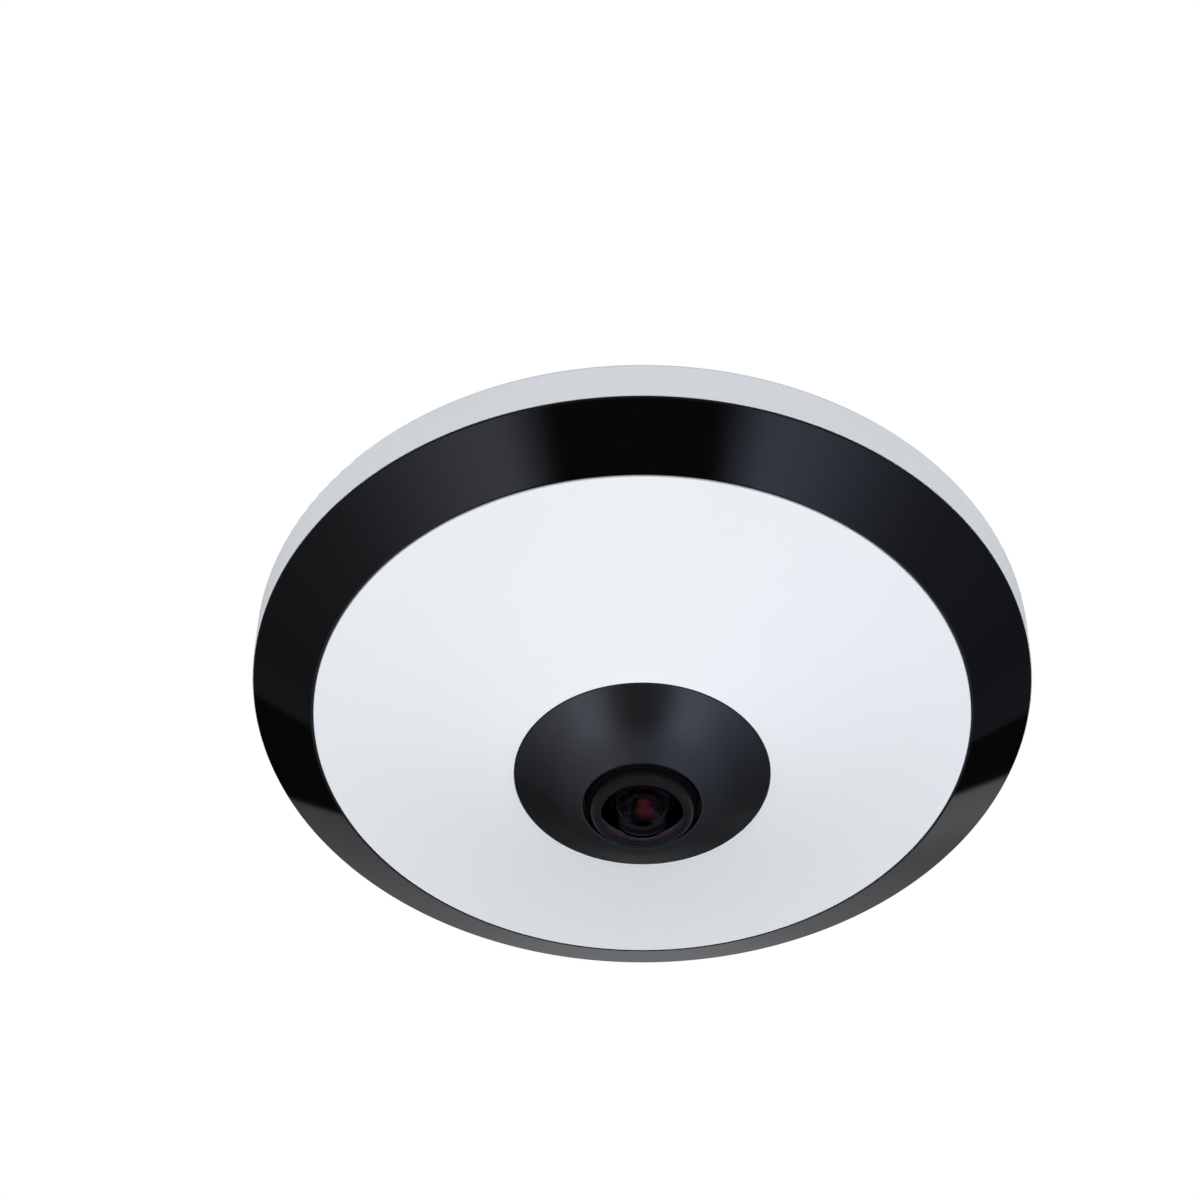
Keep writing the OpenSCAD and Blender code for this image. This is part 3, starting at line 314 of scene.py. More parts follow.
def surface_group(name, inputs, draw):
    """A shader group, made once, whose nodes give a colour, a roughness and a height."""
    if name not in bpy.data.node_groups:
        tree, start, end = new_group(name, "ShaderNodeTree", inputs, [
            ("Colour", COLOUR), ("Roughness", FLOAT), ("Height", FLOAT)])
        sheet = Sheet(tree)
        for value, socket in zip(draw(sheet, start.outputs, sheet.object_place()), end.inputs):
            tree.links.new(value, socket)
    return bpy.data.node_groups[name]


def geometry_group(name, inputs, draw):
    """A geometry tree, made once, that ends in real geometry of one material."""
    if name not in bpy.data.node_groups:
        tree, start, end = new_group(name, "GeometryNodeTree", [*inputs, ("Material", MATERIAL)],
                                     [("Geometry", GEOMETRY)])
        sheet = Sheet(tree)
        whole = sheet.out("GeometryNodeRealizeInstances",
                          {"Geometry": draw(sheet, start.outputs)})
        painted = sheet.out("GeometryNodeSetMaterial",
                            {"Geometry": whole, "Material": start.outputs["Material"]})
        tree.links.new(painted, end.inputs[0])
    return bpy.data.node_groups[name]


# Shared surface effects

def moulded_group():
    """Fine grain, faint mottling and uneven gloss of a moulded surface."""
    def draw(sheet, given, place):
        fine = sheet.noise(place, given["Grain"], 3.0, 0.6)
        broad = sheet.noise(place, sheet.times(given["Grain"], 0.03), 2.0)
        shade = sheet.times(broad, given["Shade range"])
        darker = sheet.scaled(given["Colour"], sheet.math("SUBTRACT", 1.0, shade))
        spread = sheet.math("SUBTRACT", broad, 0.5)
        rough = sheet.math("MULTIPLY_ADD", spread, given["Roughness range"], given["Roughness"])
        return darker, rough, fine

    return surface_group("Moulded surface", [
        ("Colour", COLOUR, (0.8, 0.8, 0.8, 1)), ("Shade range", FLOAT, 0.04),
        ("Grain", FLOAT, 3000.0), ("Roughness", FLOAT, 0.4), ("Roughness range", FLOAT, 0.06)],
        draw)


def metal_group():
    """Fine tool lines, stains and uneven gloss of worked metal."""
    def draw(sheet, given, place):
        long_way = sheet.vector("MULTIPLY", place, (0.12, 1.0, 1.0))
        lines = sheet.noise(long_way, given["Lines"], 2.0)
        stains = sheet.noise(place, sheet.times(given["Lines"], 0.07), 4.0)
        mask = sheet.ramp(stains, 0.45, 0.7)
        colour = sheet.mix_colour(sheet.times(mask, 0.5), given["Colour"], given["Stain"])
        rough = sheet.math("MULTIPLY_ADD", mask, given["Roughness range"], given["Roughness"])
        return colour, rough, lines

    return surface_group("Worked metal", [
        ("Colour", COLOUR, (0.6, 0.6, 0.6, 1)), ("Stain", COLOUR, (0.4, 0.38, 0.35, 1)),
        ("Lines", FLOAT, 6000.0), ("Roughness", FLOAT, 0.3), ("Roughness range", FLOAT, 0.15)],
        draw)


def board_group():
    """Copper tracks and plated holes under a solder mask."""
    white, black, tin = (1, 1, 1, 1), (0, 0, 0, 1), (0.5, 0.48, 0.42, 1)

    def draw(sheet, given, place):
        flat = sheet.vector("MULTIPLY", place, (1.0, 1.0, 0.0))
        bricks = sheet.add("ShaderNodeTexBrick", {
            "Vector": flat, "Scale": sheet.times(given["Pitch"], 0.3),
            "Color1": white, "Color2": white, "Mortar": black,
            "Mortar Size": 0.05, "Brick Width": 1.7, "Row Height": 0.4})
        holes = sheet.add("ShaderNodeTexVoronoi", {
            "Vector": flat, "Scale": sheet.times(given["Pitch"], 0.22)})
        hole = sheet.ramp(holes.outputs["Distance"], 0.1, 0.13, 1.0, 0.0)
        copper = sheet.math("MAXIMUM", bricks.outputs["Fac"], hole)
        colour = sheet.mix_colour(copper, given["Mask"], given["Track"])
        rough = sheet.math("MULTIPLY_ADD", copper, -0.08, 0.38)
        return sheet.mix_colour(hole, colour, tin), rough, copper

    return surface_group("Board tracks", [
        ("Mask", COLOUR, (0.01, 0.07, 0.03, 1)), ("Track", COLOUR, (0.03, 0.15, 0.06, 1)),
        ("Pitch", FLOAT, 900.0)], draw)


# Materials

def fresh_sheet(owner):
    """An empty node tree for a material or a world."""
    owner.use_nodes = True
    owner.node_tree.nodes.clear()
    return Sheet(owner.node_tree)


def blank_material(name):
    """A material with only an output and a Principled shader."""
    material = bpy.data.materials.new(name)
    sheet = fresh_sheet(material)
    shader = sheet.add("ShaderNodeBsdfPrincipled")
    sheet.add("ShaderNodeOutputMaterial", {0: shader.outputs[0]})
    return material, sheet, shader


def grouped(name, group, values, relief, **constants):
    """A material whose colour, roughness and relief come from a shared effect."""
    if name in bpy.data.materials:
        return bpy.data.materials[name]
    material, sheet, shader = blank_material(name)
    effect = sheet.add("ShaderNodeGroup", values, node_tree=group).outputs
    sheet.set(shader.inputs["Base Color"], effect["Colour"])
    sheet.set(shader.inputs["Roughness"], effect["Roughness"])
    sheet.set(shader.inputs["Normal"], sheet.out("ShaderNodeBump", {
        "Height": effect["Height"], "Strength": 1.0, "Distance": relief}))
    for key, value in constants.items():
        sheet.set(shader.inputs[key.replace("_", " ")], value)
    return material


def rgba(colour):
    return (*colour[:3], 1.0)


def moulded(name, colour, rough=0.42, grain=3000.0, relief=0.004 * MM, shade=0.04, spread=0.06,
            **constants):
    """Moulded plastic, rubber or resin."""
    values = {"Colour": rgba(colour), "Shade range": shade, "Grain": grain,
              "Roughness": rough, "Roughness range": spread}
    return grouped(name, moulded_group(), values, relief, **constants)


def metal(name, colour, stain, rough, lines=6000.0, relief=0.002 * MM):
    """Machined, pressed or plated metal."""
    values = {"Colour": rgba(colour), "Stain": rgba(stain), "Lines": lines,
              "Roughness": rough, "Roughness range": 0.15}
    return grouped(name, metal_group(), values, relief, Metallic=1.0)


def board(name, mask, track):
    """Circuit board with tracks under its mask."""
    values = {"Mask": rgba(mask), "Track": rgba(track), "Pitch": 900.0}
    return grouped(name, board_group(), values, 0.02 * MM)


def glass(name, tint, ior, reflect=(1, 1, 1), rim=None, glow=None):
    """Polished glass; its coating tints what it reflects and fades its rim, and a glow in the
    middle paints the coating's red reflection.

    rim holds the radii between which the reflection fades, glow the two colours of the painted
    reflection in the middle.
    """
    if name in bpy.data.materials:
        return bpy.data.materials[name]
    material, sheet, shader = blank_material(name)
    place = sheet.object_place()
    haze = sheet.noise(place, 400.0, 3.0)
    sheet.set(shader.inputs["Roughness"], sheet.ramp(haze, 0.4, 0.8, 0.0, 0.02))
    for key, value in (("Base Color", rgba(tint)), ("Transmission Weight", 1.0), ("IOR", ior),
                       ("Specular Tint", rgba(reflect))):
        sheet.set(shader.inputs[key], value)
    if rim:
        radius = sheet.axis_distance(place)
        sheet.set(shader.inputs["Alpha"], sheet.ramp(radius, *rim, 1.0, 0.03))
    # Painted reflection: an emission spot in the middle, orange-red on the left and magenta-red on
    # the right, stands in for the coating's reflection.
    if glow:
        left, right = glow
        centre, fade, blend = (0.3 * MM, 1.3 * MM, 0), (0.3 * MM, 1.6 * MM), (-0.8 * MM, 0.6 * MM)
        off = sheet.vector("SUBTRACT", place, centre)
        x = sheet.out("ShaderNodeSeparateXYZ", {0: off})
        colour = sheet.mix_colour(sheet.ramp(x, *blend), rgba(left), rgba(right))
        painted_reflection_spot = sheet.mix_colour(sheet.ramp(sheet.axis_distance(off), *fade), colour,
                                rgba((0, 0, 0)))
        sheet.set(shader.inputs["Emission Color"], painted_reflection_spot)
        sheet.set(shader.inputs["Emission Strength"], 1.0)
    return material


def bezel_plastic(colour):
    """Satin black plastic of the bezel, whose texture is coarser near its opening."""
    name = "Bezel plastic"
    if name in bpy.data.materials:
        return bpy.data.materials[name]
    material = moulded(name, colour, 0.28, 3600.0, 0.003 * MM, 0.15, 0.05, Metallic=0.93,
                       Specular_IOR_Level=0.0, Specular_Tint=rgba((0.33, 0.33, 0.33)))
    sheet = Sheet(material.node_tree)
    near_opening, at_base = 10.5 * MM, 16.0 * MM
    coarse = sheet.ramp(sheet.axis_distance(sheet.object_place()), near_opening, at_base, 0.2, 0.0)
    rough = next(link for link in material.node_tree.links if link.to_socket.name == "Roughness")
    sheet.set(rough.to_socket, sheet.math("ADD", rough.from_socket, coarse))
    return material


def finishes():
    """The material of each slot that the record names.

    The numbers after a colour are its roughness, the scale and depth of its grain, and how far
    its shade and its gloss vary.
    """
    case = bpy.context.scene.camera_case
    boards = bpy.context.scene.camera_boards
    return {
        "white_plastic": moulded("White shell plastic", case.shell, 0.40, 2600.0, 0.003 * MM,
                                 0.02, 0.05),
        "plate_plastic": moulded("Mounting plate plastic", case.plate, 0.5, 2200.0, 0.006 * MM),
        "window_black": moulded("Infrared window plastic", case.window, 0.045, 300.0,
                                0.0004 * MM, 0.3, 0.03),
        "bezel_black": bezel_plastic(case.bezel),
        "black_plastic": moulded("Black inner plastic", (0.014, 0.014, 0.015), 0.5),
        "grey_plastic": moulded("Filter slide plastic", (0.05, 0.05, 0.055), 0.45),
        "button_plastic": moulded("Button plastic", (0.68, 0.66, 0.60), 0.42),
        "rubber": moulded("Black rubber", (0.018, 0.018, 0.018), 0.72, 2400.0, 0.006 * MM,
                          0.2),
        "pad_silicone": moulded("Thermal pad", (0.28, 0.42, 0.55), 0.65, 1800.0, 0.01 * MM,
                                0.1),
        "chip_black": moulded("Chip package", (0.02, 0.02, 0.021), 0.55, 5000.0),
        "connector_ivory": moulded("Ivory connector", (0.72, 0.66, 0.52), 0.48),
        "connector_brown": moulded("Brown connector", (0.10, 0.05, 0.025), 0.45),
        "tape_yellow": moulded("Transformer tape", (0.70, 0.46, 0.05), 0.35, 900.0,
                               0.008 * MM, 0.12),
        "ferrite_grey": moulded("Ferrite", (0.055, 0.055, 0.06), 0.6, 5200.0, 0.008 * MM, 0.3),
        "sensor_ceramic": moulded("Sensor package", (0.10, 0.09, 0.085), 0.5),
        "led_resin": moulded("Lamp resin", (0.80, 0.76, 0.60), 0.12, 1500.0, 0.001 * MM,
                             Transmission_Weight=0.6),
        "flex_orange": moulded("Flat lead", (0.50, 0.20, 0.03), 0.34, 1200.0, 0.006 * MM, 0.2),
        "lens_black": moulded("Blackened lens metal", (0.0065, 0.0065, 0.007), 0.5, 4200.0,
                              0.002 * MM, 0.2, 0.08, Specular_IOR_Level=0.35),
        "screw_steel": metal("Plated screw steel", (0.60, 0.59, 0.56), (0.42, 0.40, 0.37), 0.28),
        "can_steel": metal("Pressed steel", (0.66, 0.65, 0.62), (0.50, 0.48, 0.45), 0.3),
        "magnet_nickel": metal("Nickel plate", (0.62, 0.58, 0.51), (0.45, 0.42, 0.36), 0.2),
        "yoke_iron": metal("Soft iron", (0.32, 0.31, 0.30), (0.20, 0.17, 0.15), 0.45),
        "spreader_aluminium": metal("Milled aluminium", (0.76, 0.76, 0.77),
                                    (0.60, 0.60, 0.61), 0.38, 3500.0),
        "can_aluminium": metal("Capacitor can", (0.78, 0.78, 0.79), (0.62, 0.62, 0.63), 0.26),
        "spacer_brass": metal("Turned brass", (0.76, 0.56, 0.26), (0.50, 0.33, 0.15), 0.24),
        "coil_copper": metal("Enamelled copper wire", (0.62, 0.24, 0.09),
                             (0.38, 0.13, 0.05), 0.3, 2600.0, 0.03 * MM),
        "board_green": board("Circuit board", boards.mask, boards.track),
        "lens_glass": glass("Lens glass", (0.90, 0.92, 0.95), 1.52, (0.35, 0.38, 0.45)),
        "clear_glass": glass("Window glass", (0.98, 0.99, 1.0), 1.50),
        "filter_glass": glass("Infrared filter glass", (0.55, 0.85, 0.95), 1.8,
                              (1.0, 0.25, 0.35)),
    }


def own_slot(slot):
    """The record's name for the material in a frame node's slot."""
    return slot.material.name.split(".")[0]


def finish_nodes(*nodes):
    """Gives frame nodes the material of their slot."""
    slots = finishes()
    for node in nodes:
        ob = frame["nodes"][node]
        for i, slot in enumerate(ob.material_slots):
            ob.data.materials[i] = slots[own_slot(slot)]


# Meshes

def plain_mesh(ob, mend=True):
    """Applies an object's modifiers, so that it is a plain mesh with its faces outward."""
    graph = bpy.context.evaluated_depsgraph_get()
    mesh = bpy.data.meshes.new_from_object(ob.evaluated_get(graph), depsgraph=graph)
    ob.modifiers.clear()
    ob.data = mesh
    if mend:
        bm = bmesh.new()
        bm.from_mesh(mesh)
        bmesh.ops.remove_doubles(bm, verts=bm.verts, dist=MERGE)
        bmesh.ops.recalc_face_normals(bm, faces=bm.faces)
        bm.to_mesh(mesh)
        bm.free()
    return ob


def new_object(name, data):
    ob = bpy.data.objects.new(name, data)
    bpy.context.scene.collection.objects.link(ob)
    return ob


def mesh_object(name, bm):
    """Turns finished mesh code into an object."""
    mesh = bpy.data.meshes.new(name)
    bm.to_mesh(mesh)
    bm.free()
    return new_object(name, mesh)


def use_tree(ob, tree, values):
    """Puts a geometry tree on an object and sets its inputs by their names."""
    modifier = ob.modifiers.new(tree.name, "NODES")
    modifier.node_group = tree
    for item in tree.interface.items_tree:
        if item.item_type == "SOCKET" and item.in_out == "INPUT" and item.name in values:
            modifier[item.identifier] = values[item.name]
    return plain_mesh(ob)


def joined(name, obs):
    """Joins objects into one mesh object."""
    bm = bmesh.new()
    materials = []
    for ob in obs:
        first = len(bm.faces)
        bm.from_mesh(ob.data)
        bm.faces.ensure_lookup_table()
        for face in bm.faces[first:]:
            own = ob.data.materials[face.material_index]
            if own not in materials:
                materials.append(own)
            face.material_index = materials.index(own)
    whole = mesh_object(name, bm)
    for material in materials:
        whole.data.materials.append(material)
    for ob in obs:
        bpy.data.objects.remove(ob)
    return whole


def dressed(ob, slot, body, *nodes):
    """Finishes a piece: gives it its slot's material if it has none, hangs it on its body and
    hides the nodes that it stands for.
    """
    if not ob.data.materials:
        ob.data.materials.append(finishes()[slot])
    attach(ob, body)
    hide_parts(*nodes)
    return ob


def arc(centre, radius, start, end, steps):
    """Corners on an arc about a depth on the axis; angles run from the radius to depth."""
    angles = [start + (end - start) * i / steps for i in range(steps + 1)]
    return [(radius * math.cos(a), centre + radius * math.sin(a), 0) for a in angles]


def outline(corners, closed=True, steps=4):
    """Turns corners of radius, depth and rounding into the points of a smooth outline."""
    longest, lead = 0.42, 1.15   # of a side that a rounding may take, and where it is eased in
    straight = math.radians(89)   # half a corner's angle, past which it isn't rounded
    points = []
    last = len(corners) - 1
    for i, (r, depth, rounding) in enumerate(corners):
        here = Vector((r, depth))
        if rounding <= 0 or (not closed and i in (0, last)):
            points.append(here)
            continue
        before = Vector(corners[i - 1][:2]) - here
        after = Vector(corners[(i + 1) % len(corners)][:2]) - here
        half = before.angle(after) / 2
        if half > straight:
            points.append(here)
            continue
        reach = min(rounding / math.tan(half), longest * before.length, longest * after.length)
        radius = reach * math.tan(half)
        before.normalize()
        after.normalize()
        centre = here + (before + after).normalized() * radius / math.sin(half)
        start = here + before * reach - centre
        end = here + after * reach - centre
        turn = start.angle_signed(end)
        points.append(here + before * reach * lead)
        for k in range(steps + 1):
            spoke = start.copy()
            spoke.rotate(Matrix.Rotation(-turn * k / steps, 2))
            points.append(centre + spoke)
        points.append(here + after * reach * lead)
    return points


PATH_R = 1.0   # of the circle that an outline is swept along, in millimetres


def turned_tree():
    """Turns an outline round the Z axis."""
    def draw(sheet, given):
        section = sheet.out("GeometryNodeMeshToCurve", {"Mesh": given["Outline"]})
        path = sheet.out("GeometryNodeCurvePrimitiveCircle",
                         {"Resolution": given["Steps"], "Radius": given["Path radius"]})
        swept = sheet.out("GeometryNodeCurveToMesh", {"Curve": path, "Profile Curve": section})
        closed = sheet.out("GeometryNodeMergeByDistance", {"Geometry": swept, "Distance": MERGE})
        return sheet.out("GeometryNodeSetShadeSmooth", {"Geometry": closed})

    return geometry_group("Turned piece", [
        ("Outline", GEOMETRY), ("Steps", COUNT, 256), ("Path radius", FLOAT, PATH_R * MM)], draw)


def turned(name, corners, slot, closed=True, steps=256, at=(0, 0), corner_steps=4):
    """A turned piece from its corners, set at a place on the ceiling plane."""
    points = outline(corners, closed, corner_steps)
    count = len(points)
    verts = [((p[0] - PATH_R) * MM, p[1] * MM, 0) for p in points]
    edges = [(i, (i + 1) % count) for i in range(count if closed else count - 1)]
    mesh = bpy.data.meshes.new(name)
    mesh.from_pydata(verts, edges, [])
    ob = new_object(name, mesh)
    use_tree(ob, turned_tree(), {"Steps": steps, "Path radius": PATH_R * MM,
                                 "Material": finishes()[slot]})
    ob.data.transform(Matrix.Translation((at[0] * MM, at[1] * MM, 0)))
    return ob


def turned_piece(name, node, slot, corners, body=CAMERA, **shape):
    """A turned piece that stands for a node."""
    return dressed(turned(name, corners, slot, **shape), slot, body, node)


def around_tree():
    """Repeats a piece at even steps round the Z axis."""
    def draw(sheet, given):
        points = sheet.out("GeometryNodeMeshLine", {"Count": given["Count"], "Offset": (0, 0, 0)})
        step = sheet.math("DIVIDE", math.tau, given["Count"])
        index = sheet.out("GeometryNodeInputIndex")
        angle = sheet.math("MULTIPLY_ADD", index, step, given["First angle"])
        return sheet.out("GeometryNodeInstanceOnPoints", {
            "Points": points, "Instance": given["Piece"], "Rotation": sheet.combined(Z=angle)})

    return geometry_group("Round the axis", [
        ("Piece", GEOMETRY), ("Count", COUNT, 3), ("First angle", FLOAT, 0.0)], draw)


def repeated(ob, slot, count, first):
    """Repeats an object's mesh round the Z axis, from a first angle in degrees."""
    return use_tree(ob, around_tree(), {"Count": count, "First angle": math.radians(first),
                                        "Material": finishes()[slot]})


def rounded_copy(name, node, width):
    """A copy of a node's mesh with its sharp edges rounded."""
    weld, flat, sharp = 0.001 * MM, math.radians(0.3), math.radians(28)
    source = frame["nodes"][node]
    bm = bmesh.new()
    bm.from_mesh(source.data)
    bmesh.ops.remove_doubles(bm, verts=bm.verts, dist=weld)
    bmesh.ops.dissolve_limit(bm, angle_limit=flat, verts=bm.verts, edges=bm.edges)
    ob = mesh_object(name, bm)
    for face in ob.data.polygons:
        face.use_smooth = True
        face.material_index = 0
    slot = own_slot(source.material_slots[0])
    ob.data.materials.append(finishes()[slot])
    bevel = ob.modifiers.new("Rounded edges", "BEVEL")
    bevel.width, bevel.segments = width, 2
    bevel.limit_method, bevel.angle_limit = "ANGLE", sharp
    ob.modifiers.new("Flat faces first", "WEIGHTED_NORMAL").weight = 80
    plain_mesh(ob, mend=False)
    dressed(ob, slot, source["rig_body"], node)


def rounded_parts(**widths):
    """Rounded copies of nodes, each by its width in millimetres."""
    for node, width in widths.items():
        rounded_copy(node + "_part", node, width * MM)


# Corners of the outer pieces

def ring_corners(rounding):
    """Window ring: sloped outer face, flange behind the cover, lip in the skirt's rebate."""
    wall, edge, skirt_edge, lip_rear, small = 2.0, RING_MIDDLE, 9.0, 7.25, 0.1
    inner_r = COVER_R + 0.1
    slope = math.atan2(COVER_EDGE - edge, RING_R - inner_r)
    along = Vector((math.cos(slope), -math.sin(slope)))
    inner = Vector((inner_r, COVER_EDGE)) - wall * Vector((math.sin(slope), math.cos(slope)))
    flange_front = COVER_EDGE - COVER_WALL / math.cos(EDGE_SLOPE) - 0.05
    flange_rear, flange_r = flange_front - 1.4, inner_r - 2
    lip_r = SKIRT_R - 1.05
    lip_in = lip_r - 1.15
    at_flange = inner + along * (inner.y - flange_rear) / math.sin(slope)
    at_lip = inner + along * (lip_in - inner.x) / math.cos(slope)
    return [
        (RING_R, skirt_edge, 0.05), (RING_R, edge, rounding), (inner_r, COVER_EDGE, rounding),
        (inner_r, flange_front, small), (flange_r, flange_front, small),
        (flange_r, flange_rear, small), (*at_flange, small), (*at_lip, small),
        (lip_in, lip_rear, small), (lip_r, lip_rear, small), (lip_r, skirt_edge, 0.05)]


def cover_curve(inset):
    """Centres and angles of the cover's two arcs, moved in by the wall's inset."""
    flare_r = 14.0
    edge = Vector((COVER_R + 0.1, COVER_EDGE))
    flare = Vector((NECK_HOLE_R, BEZEL_BASE))
    bezel_slope = math.atan2(BEZEL_DROP, NECK_HOLE_R - MOUTH_R)
    flare_centre = flare + flare_r * Vector((math.sin(bezel_slope), math.cos(bezel_slope)))
    normal = Vector((math.sin(EDGE_SLOPE), math.cos(EDGE_SLOPE)))
    chord = edge - flare_centre
    sweep_r = (flare_r ** 2 - chord.dot(chord)) / (2 * (chord.dot(normal) + flare_r))
    sweep_centre = edge + sweep_r * normal
    to_flare = (flare_centre - sweep_centre).normalized()
    meet = math.atan2(to_flare.y, to_flare.x)
    return sweep_centre, sweep_r + inset, flare_centre, flare_r + inset, meet


def on_cover(r, inset):
    """Depth of the cover's face, moved in by the inset, at a radius."""
    sweep_centre, sweep_r, flare_centre, flare_r, meet = cover_curve(inset)
    join_r = sweep_centre.x + sweep_r * math.cos(meet)
    centre, radius = (sweep_centre, sweep_r) if r > join_r else (flare_centre, flare_r)
    return centre.y - math.sqrt(radius ** 2 - (r - centre.x) ** 2)


def cover_face(inset, r_from, r_to, steps):
    """Points on the cover's face from one radius to another."""
    return [(r, on_cover(r, inset), 0) for r in
            (r_from + (r_to - r_from) * i / steps for i in range(steps + 1))]


def cover_corners(rounding):
    """Cover: flared outer face, inner face one wall behind it, collar round the bezel."""
    collar_in, collar_out, eased = NECK_HOLE_R, NECK_HOLE_R + 1.6, rounding * 1.6
    outer = cover_face(0, COVER_R - eased, collar_in + eased, 72)
    inner = cover_face(COVER_WALL, collar_out, COVER_R - 0.2, 60)
    return [(COVER_R, on_cover(COVER_R, 0), rounding), *outer,
            (collar_in, on_cover(collar_in, 0), rounding), (collar_in, COLLAR_REAR, 0.15),
            (collar_out, COLLAR_REAR, 0.15), *inner,
            (COVER_R, on_cover(COVER_R, COVER_WALL), 0.1)]


def bezel_corners():
    """Bezel: cone, neck inside the cover's collar, flange behind it, lip over the seal."""
    neck, wall, base_r, lip_r, flange_r = 20.2, 1.8, 20.25, 10.3, 23.1
    flange_rear, lip_rear = BEZEL_BASE - 8, OPENING - 1.8
    cone = math.atan2(BEZEL_DROP, NECK_HOLE_R - MOUTH_R)
    rim_r = base_r - (BEZEL_FRONT - BEZEL_BASE) / math.tan(cone)
    return [
        (neck - wall, flange_rear, 0.15), (flange_r, flange_rear, 0.15),
        (flange_r, COLLAR_REAR, 0.15), (neck, COLLAR_REAR, 0.15), (neck, BEZEL_BASE - 0.05, 0.1),
        (rim_r, BEZEL_FRONT, 0.22), (MOUTH_R, BEZEL_FRONT, 0.12), (MOUTH_R, lip_rear, 0.1),
        (lip_r, lip_rear, 0.1), (lip_r, lip_rear - 1.2, 0.15),
        (neck - wall, BEZEL_BASE - wall / math.cos(cone), 0.3)]


# Corners of the lens; its depths are those of the glasses' faces and of the stop

GLASS_R, GLASS_SEEN_R, GLASS_SEAT_R = 7.1, 6.42, 7.15
GLASS_REAR = GLASS_RIM - 2.4
DOME_R = 8.936
DOME_CENTRE = LENS_TIP - DOME_R
HOLLOW_R, HOLLOW_RIM_R = 4.9, 4.6
HOLLOW_CENTRE = GLASS_REAR - math.sqrt(HOLLOW_R ** 2 - HOLLOW_RIM_R ** 2)
SECOND_REAR = GLASS_REAR - 2.05
BORE_R, TUBE_R, INNER_R = 4.0, 3.4, 3.95
STOP_REAR, STOP_FRONT = 25.9, 26.4
REAR_FLAT, REAR_GLASSES_MEET = 20.7, 23.3


def barrel_corners(pitch, depth):
    """Barrel: threaded tube, wide head, seats for the glasses."""
    rear, head_rear, thread_r, small = 20.2, HEAD_FRONT - 4.5, 6.0, 0.05
    seat, floor = HEAD_FRONT - 1.1, HEAD_FRONT - 3.7
    neck_r, mouth_r, ledge_r, chamfer = 5.8, 8.1, 4.9, 0.6
    corners = [(TUBE_R, rear, small), (5.7, rear, 0.1)]
    for i in range(int((head_rear - rear - 0.9) / pitch)):
        start = rear + 0.3 + i * pitch
        corners += [(thread_r - depth, start, 0), (thread_r, start + pitch * 0.45, 0),
                    (thread_r, start + pitch * 0.55, 0)]
    return [*corners, (thread_r - depth, head_rear - 0.5, 0), (neck_r, head_rear - 0.3, 0),
            (neck_r, head_rear, small), (HEAD_R - chamfer, head_rear, 0.1),
            (HEAD_R, head_rear + chamfer, 0.15), (HEAD_R, HEAD_FRONT - chamfer, 0.15),
            (HEAD_R - chamfer, HEAD_FRONT, 0.15), (mouth_r, HEAD_FRONT, small),
            (mouth_r, seat, small), (GLASS_SEAT_R, seat, small),
            (GLASS_SEAT_R, GLASS_REAR, small), (ledge_r, GLASS_REAR, small),
            (ledge_r, floor, small), (BORE_R, floor, small), (BORE_R, REAR_FLAT, small),
            (TUBE_R, REAR_FLAT, small)]


def dome_depth(r, extra=0.0):
    return DOME_CENTRE + math.sqrt((DOME_R + extra) ** 2 - r ** 2)


def retaining_corners():
    """Ring that holds the front glass, with a step on its face."""
    rear, ring_r = HEAD_FRONT - 1.05, 8.05
    seat = [(r, dome_depth(r, 0.025), 0) for r in (GLASS_SEEN_R, 6.6, 6.8, 7.0, GLASS_SEAT_R)]
    return [*seat, (GLASS_SEAT_R, rear, 0.05), (ring_r, rear, 0.05), (ring_r, OPENING + 1, 0.08),
            (7.62, GLASS_RIM + 0.2, 0.12), (7.0, GLASS_RIM + 0.24, 0.1),
            (6.9, GLASS_RIM + 0.05, 0.04), (GLASS_SEEN_R, GLASS_RIM + 0.03, 0.02)]


def front_glass_corners():
    """Front glass: dome outside, deep hollow inside."""
    rim_angle = math.atan2(GLASS_REAR - HOLLOW_CENTRE, HOLLOW_RIM_R)
    hollow = arc(HOLLOW_CENTRE, HOLLOW_R, math.pi / 2, rim_angle, 24)
    edge_angle = math.atan2(dome_depth(GLASS_R) - DOME_CENTRE, GLASS_R)
    dome = arc(DOME_CENTRE, DOME_R, edge_angle, math.pi / 2, 48)
    return [*hollow, (GLASS_R - 0.1, GLASS_REAR, 0), (GLASS_R, GLASS_REAR + 0.1, 0), *dome]


def second_glass_corners():
    """Second glass: flat behind, hollow in front."""
    top, r, bend, sag = GLASS_REAR - 0.05, 4.85, 6.4, 1.2
    centre = top + bend - sag
    rim = math.sqrt(bend ** 2 - (centre - top) ** 2)
    hollow = arc(centre, bend, math.atan2(top - centre, rim), -math.pi / 2, 20)
    return [(0, SECOND_REAR, 0), (r - 0.1, SECOND_REAR, 0), (r, SECOND_REAR + 0.1, 0),
            (r, top - 0.1, 0), (r - 0.1, top, 0), *hollow]


def rear_glass_corners(flat, curved):
    """A rear glass: flat on one face, bowed on the other."""
    bend, way = 8.0, math.copysign(1, curved - flat)
    centre = curved - way * bend
    edge = centre + way * math.sqrt(bend ** 2 - INNER_R ** 2)
    bow = arc(centre, bend, math.atan2(edge - centre, INNER_R), way * math.pi / 2, 20)
    return [(0, flat, 0), (INNER_R - 0.1, flat, 0), (INNER_R, flat + way * 0.1, 0), *bow]


def spacer_corners():
    """Spacer between the stop and the second glass, with grooves that catch stray light."""
    grooves, pitch, depth = 8, 0.38, 0.25
    corners = [(INNER_R, STOP_FRONT, 0.03), (INNER_R, SECOND_REAR, 0.03),
               (TUBE_R, SECOND_REAR, 0.03)]
    for i in range(grooves):
        start = SECOND_REAR - 0.25 - i * pitch
        corners += [(TUBE_R, start, 0), (TUBE_R + depth, start - 0.1, 0)]
    return [*corners, (TUBE_R, STOP_FRONT, 0.03)]


# Screws

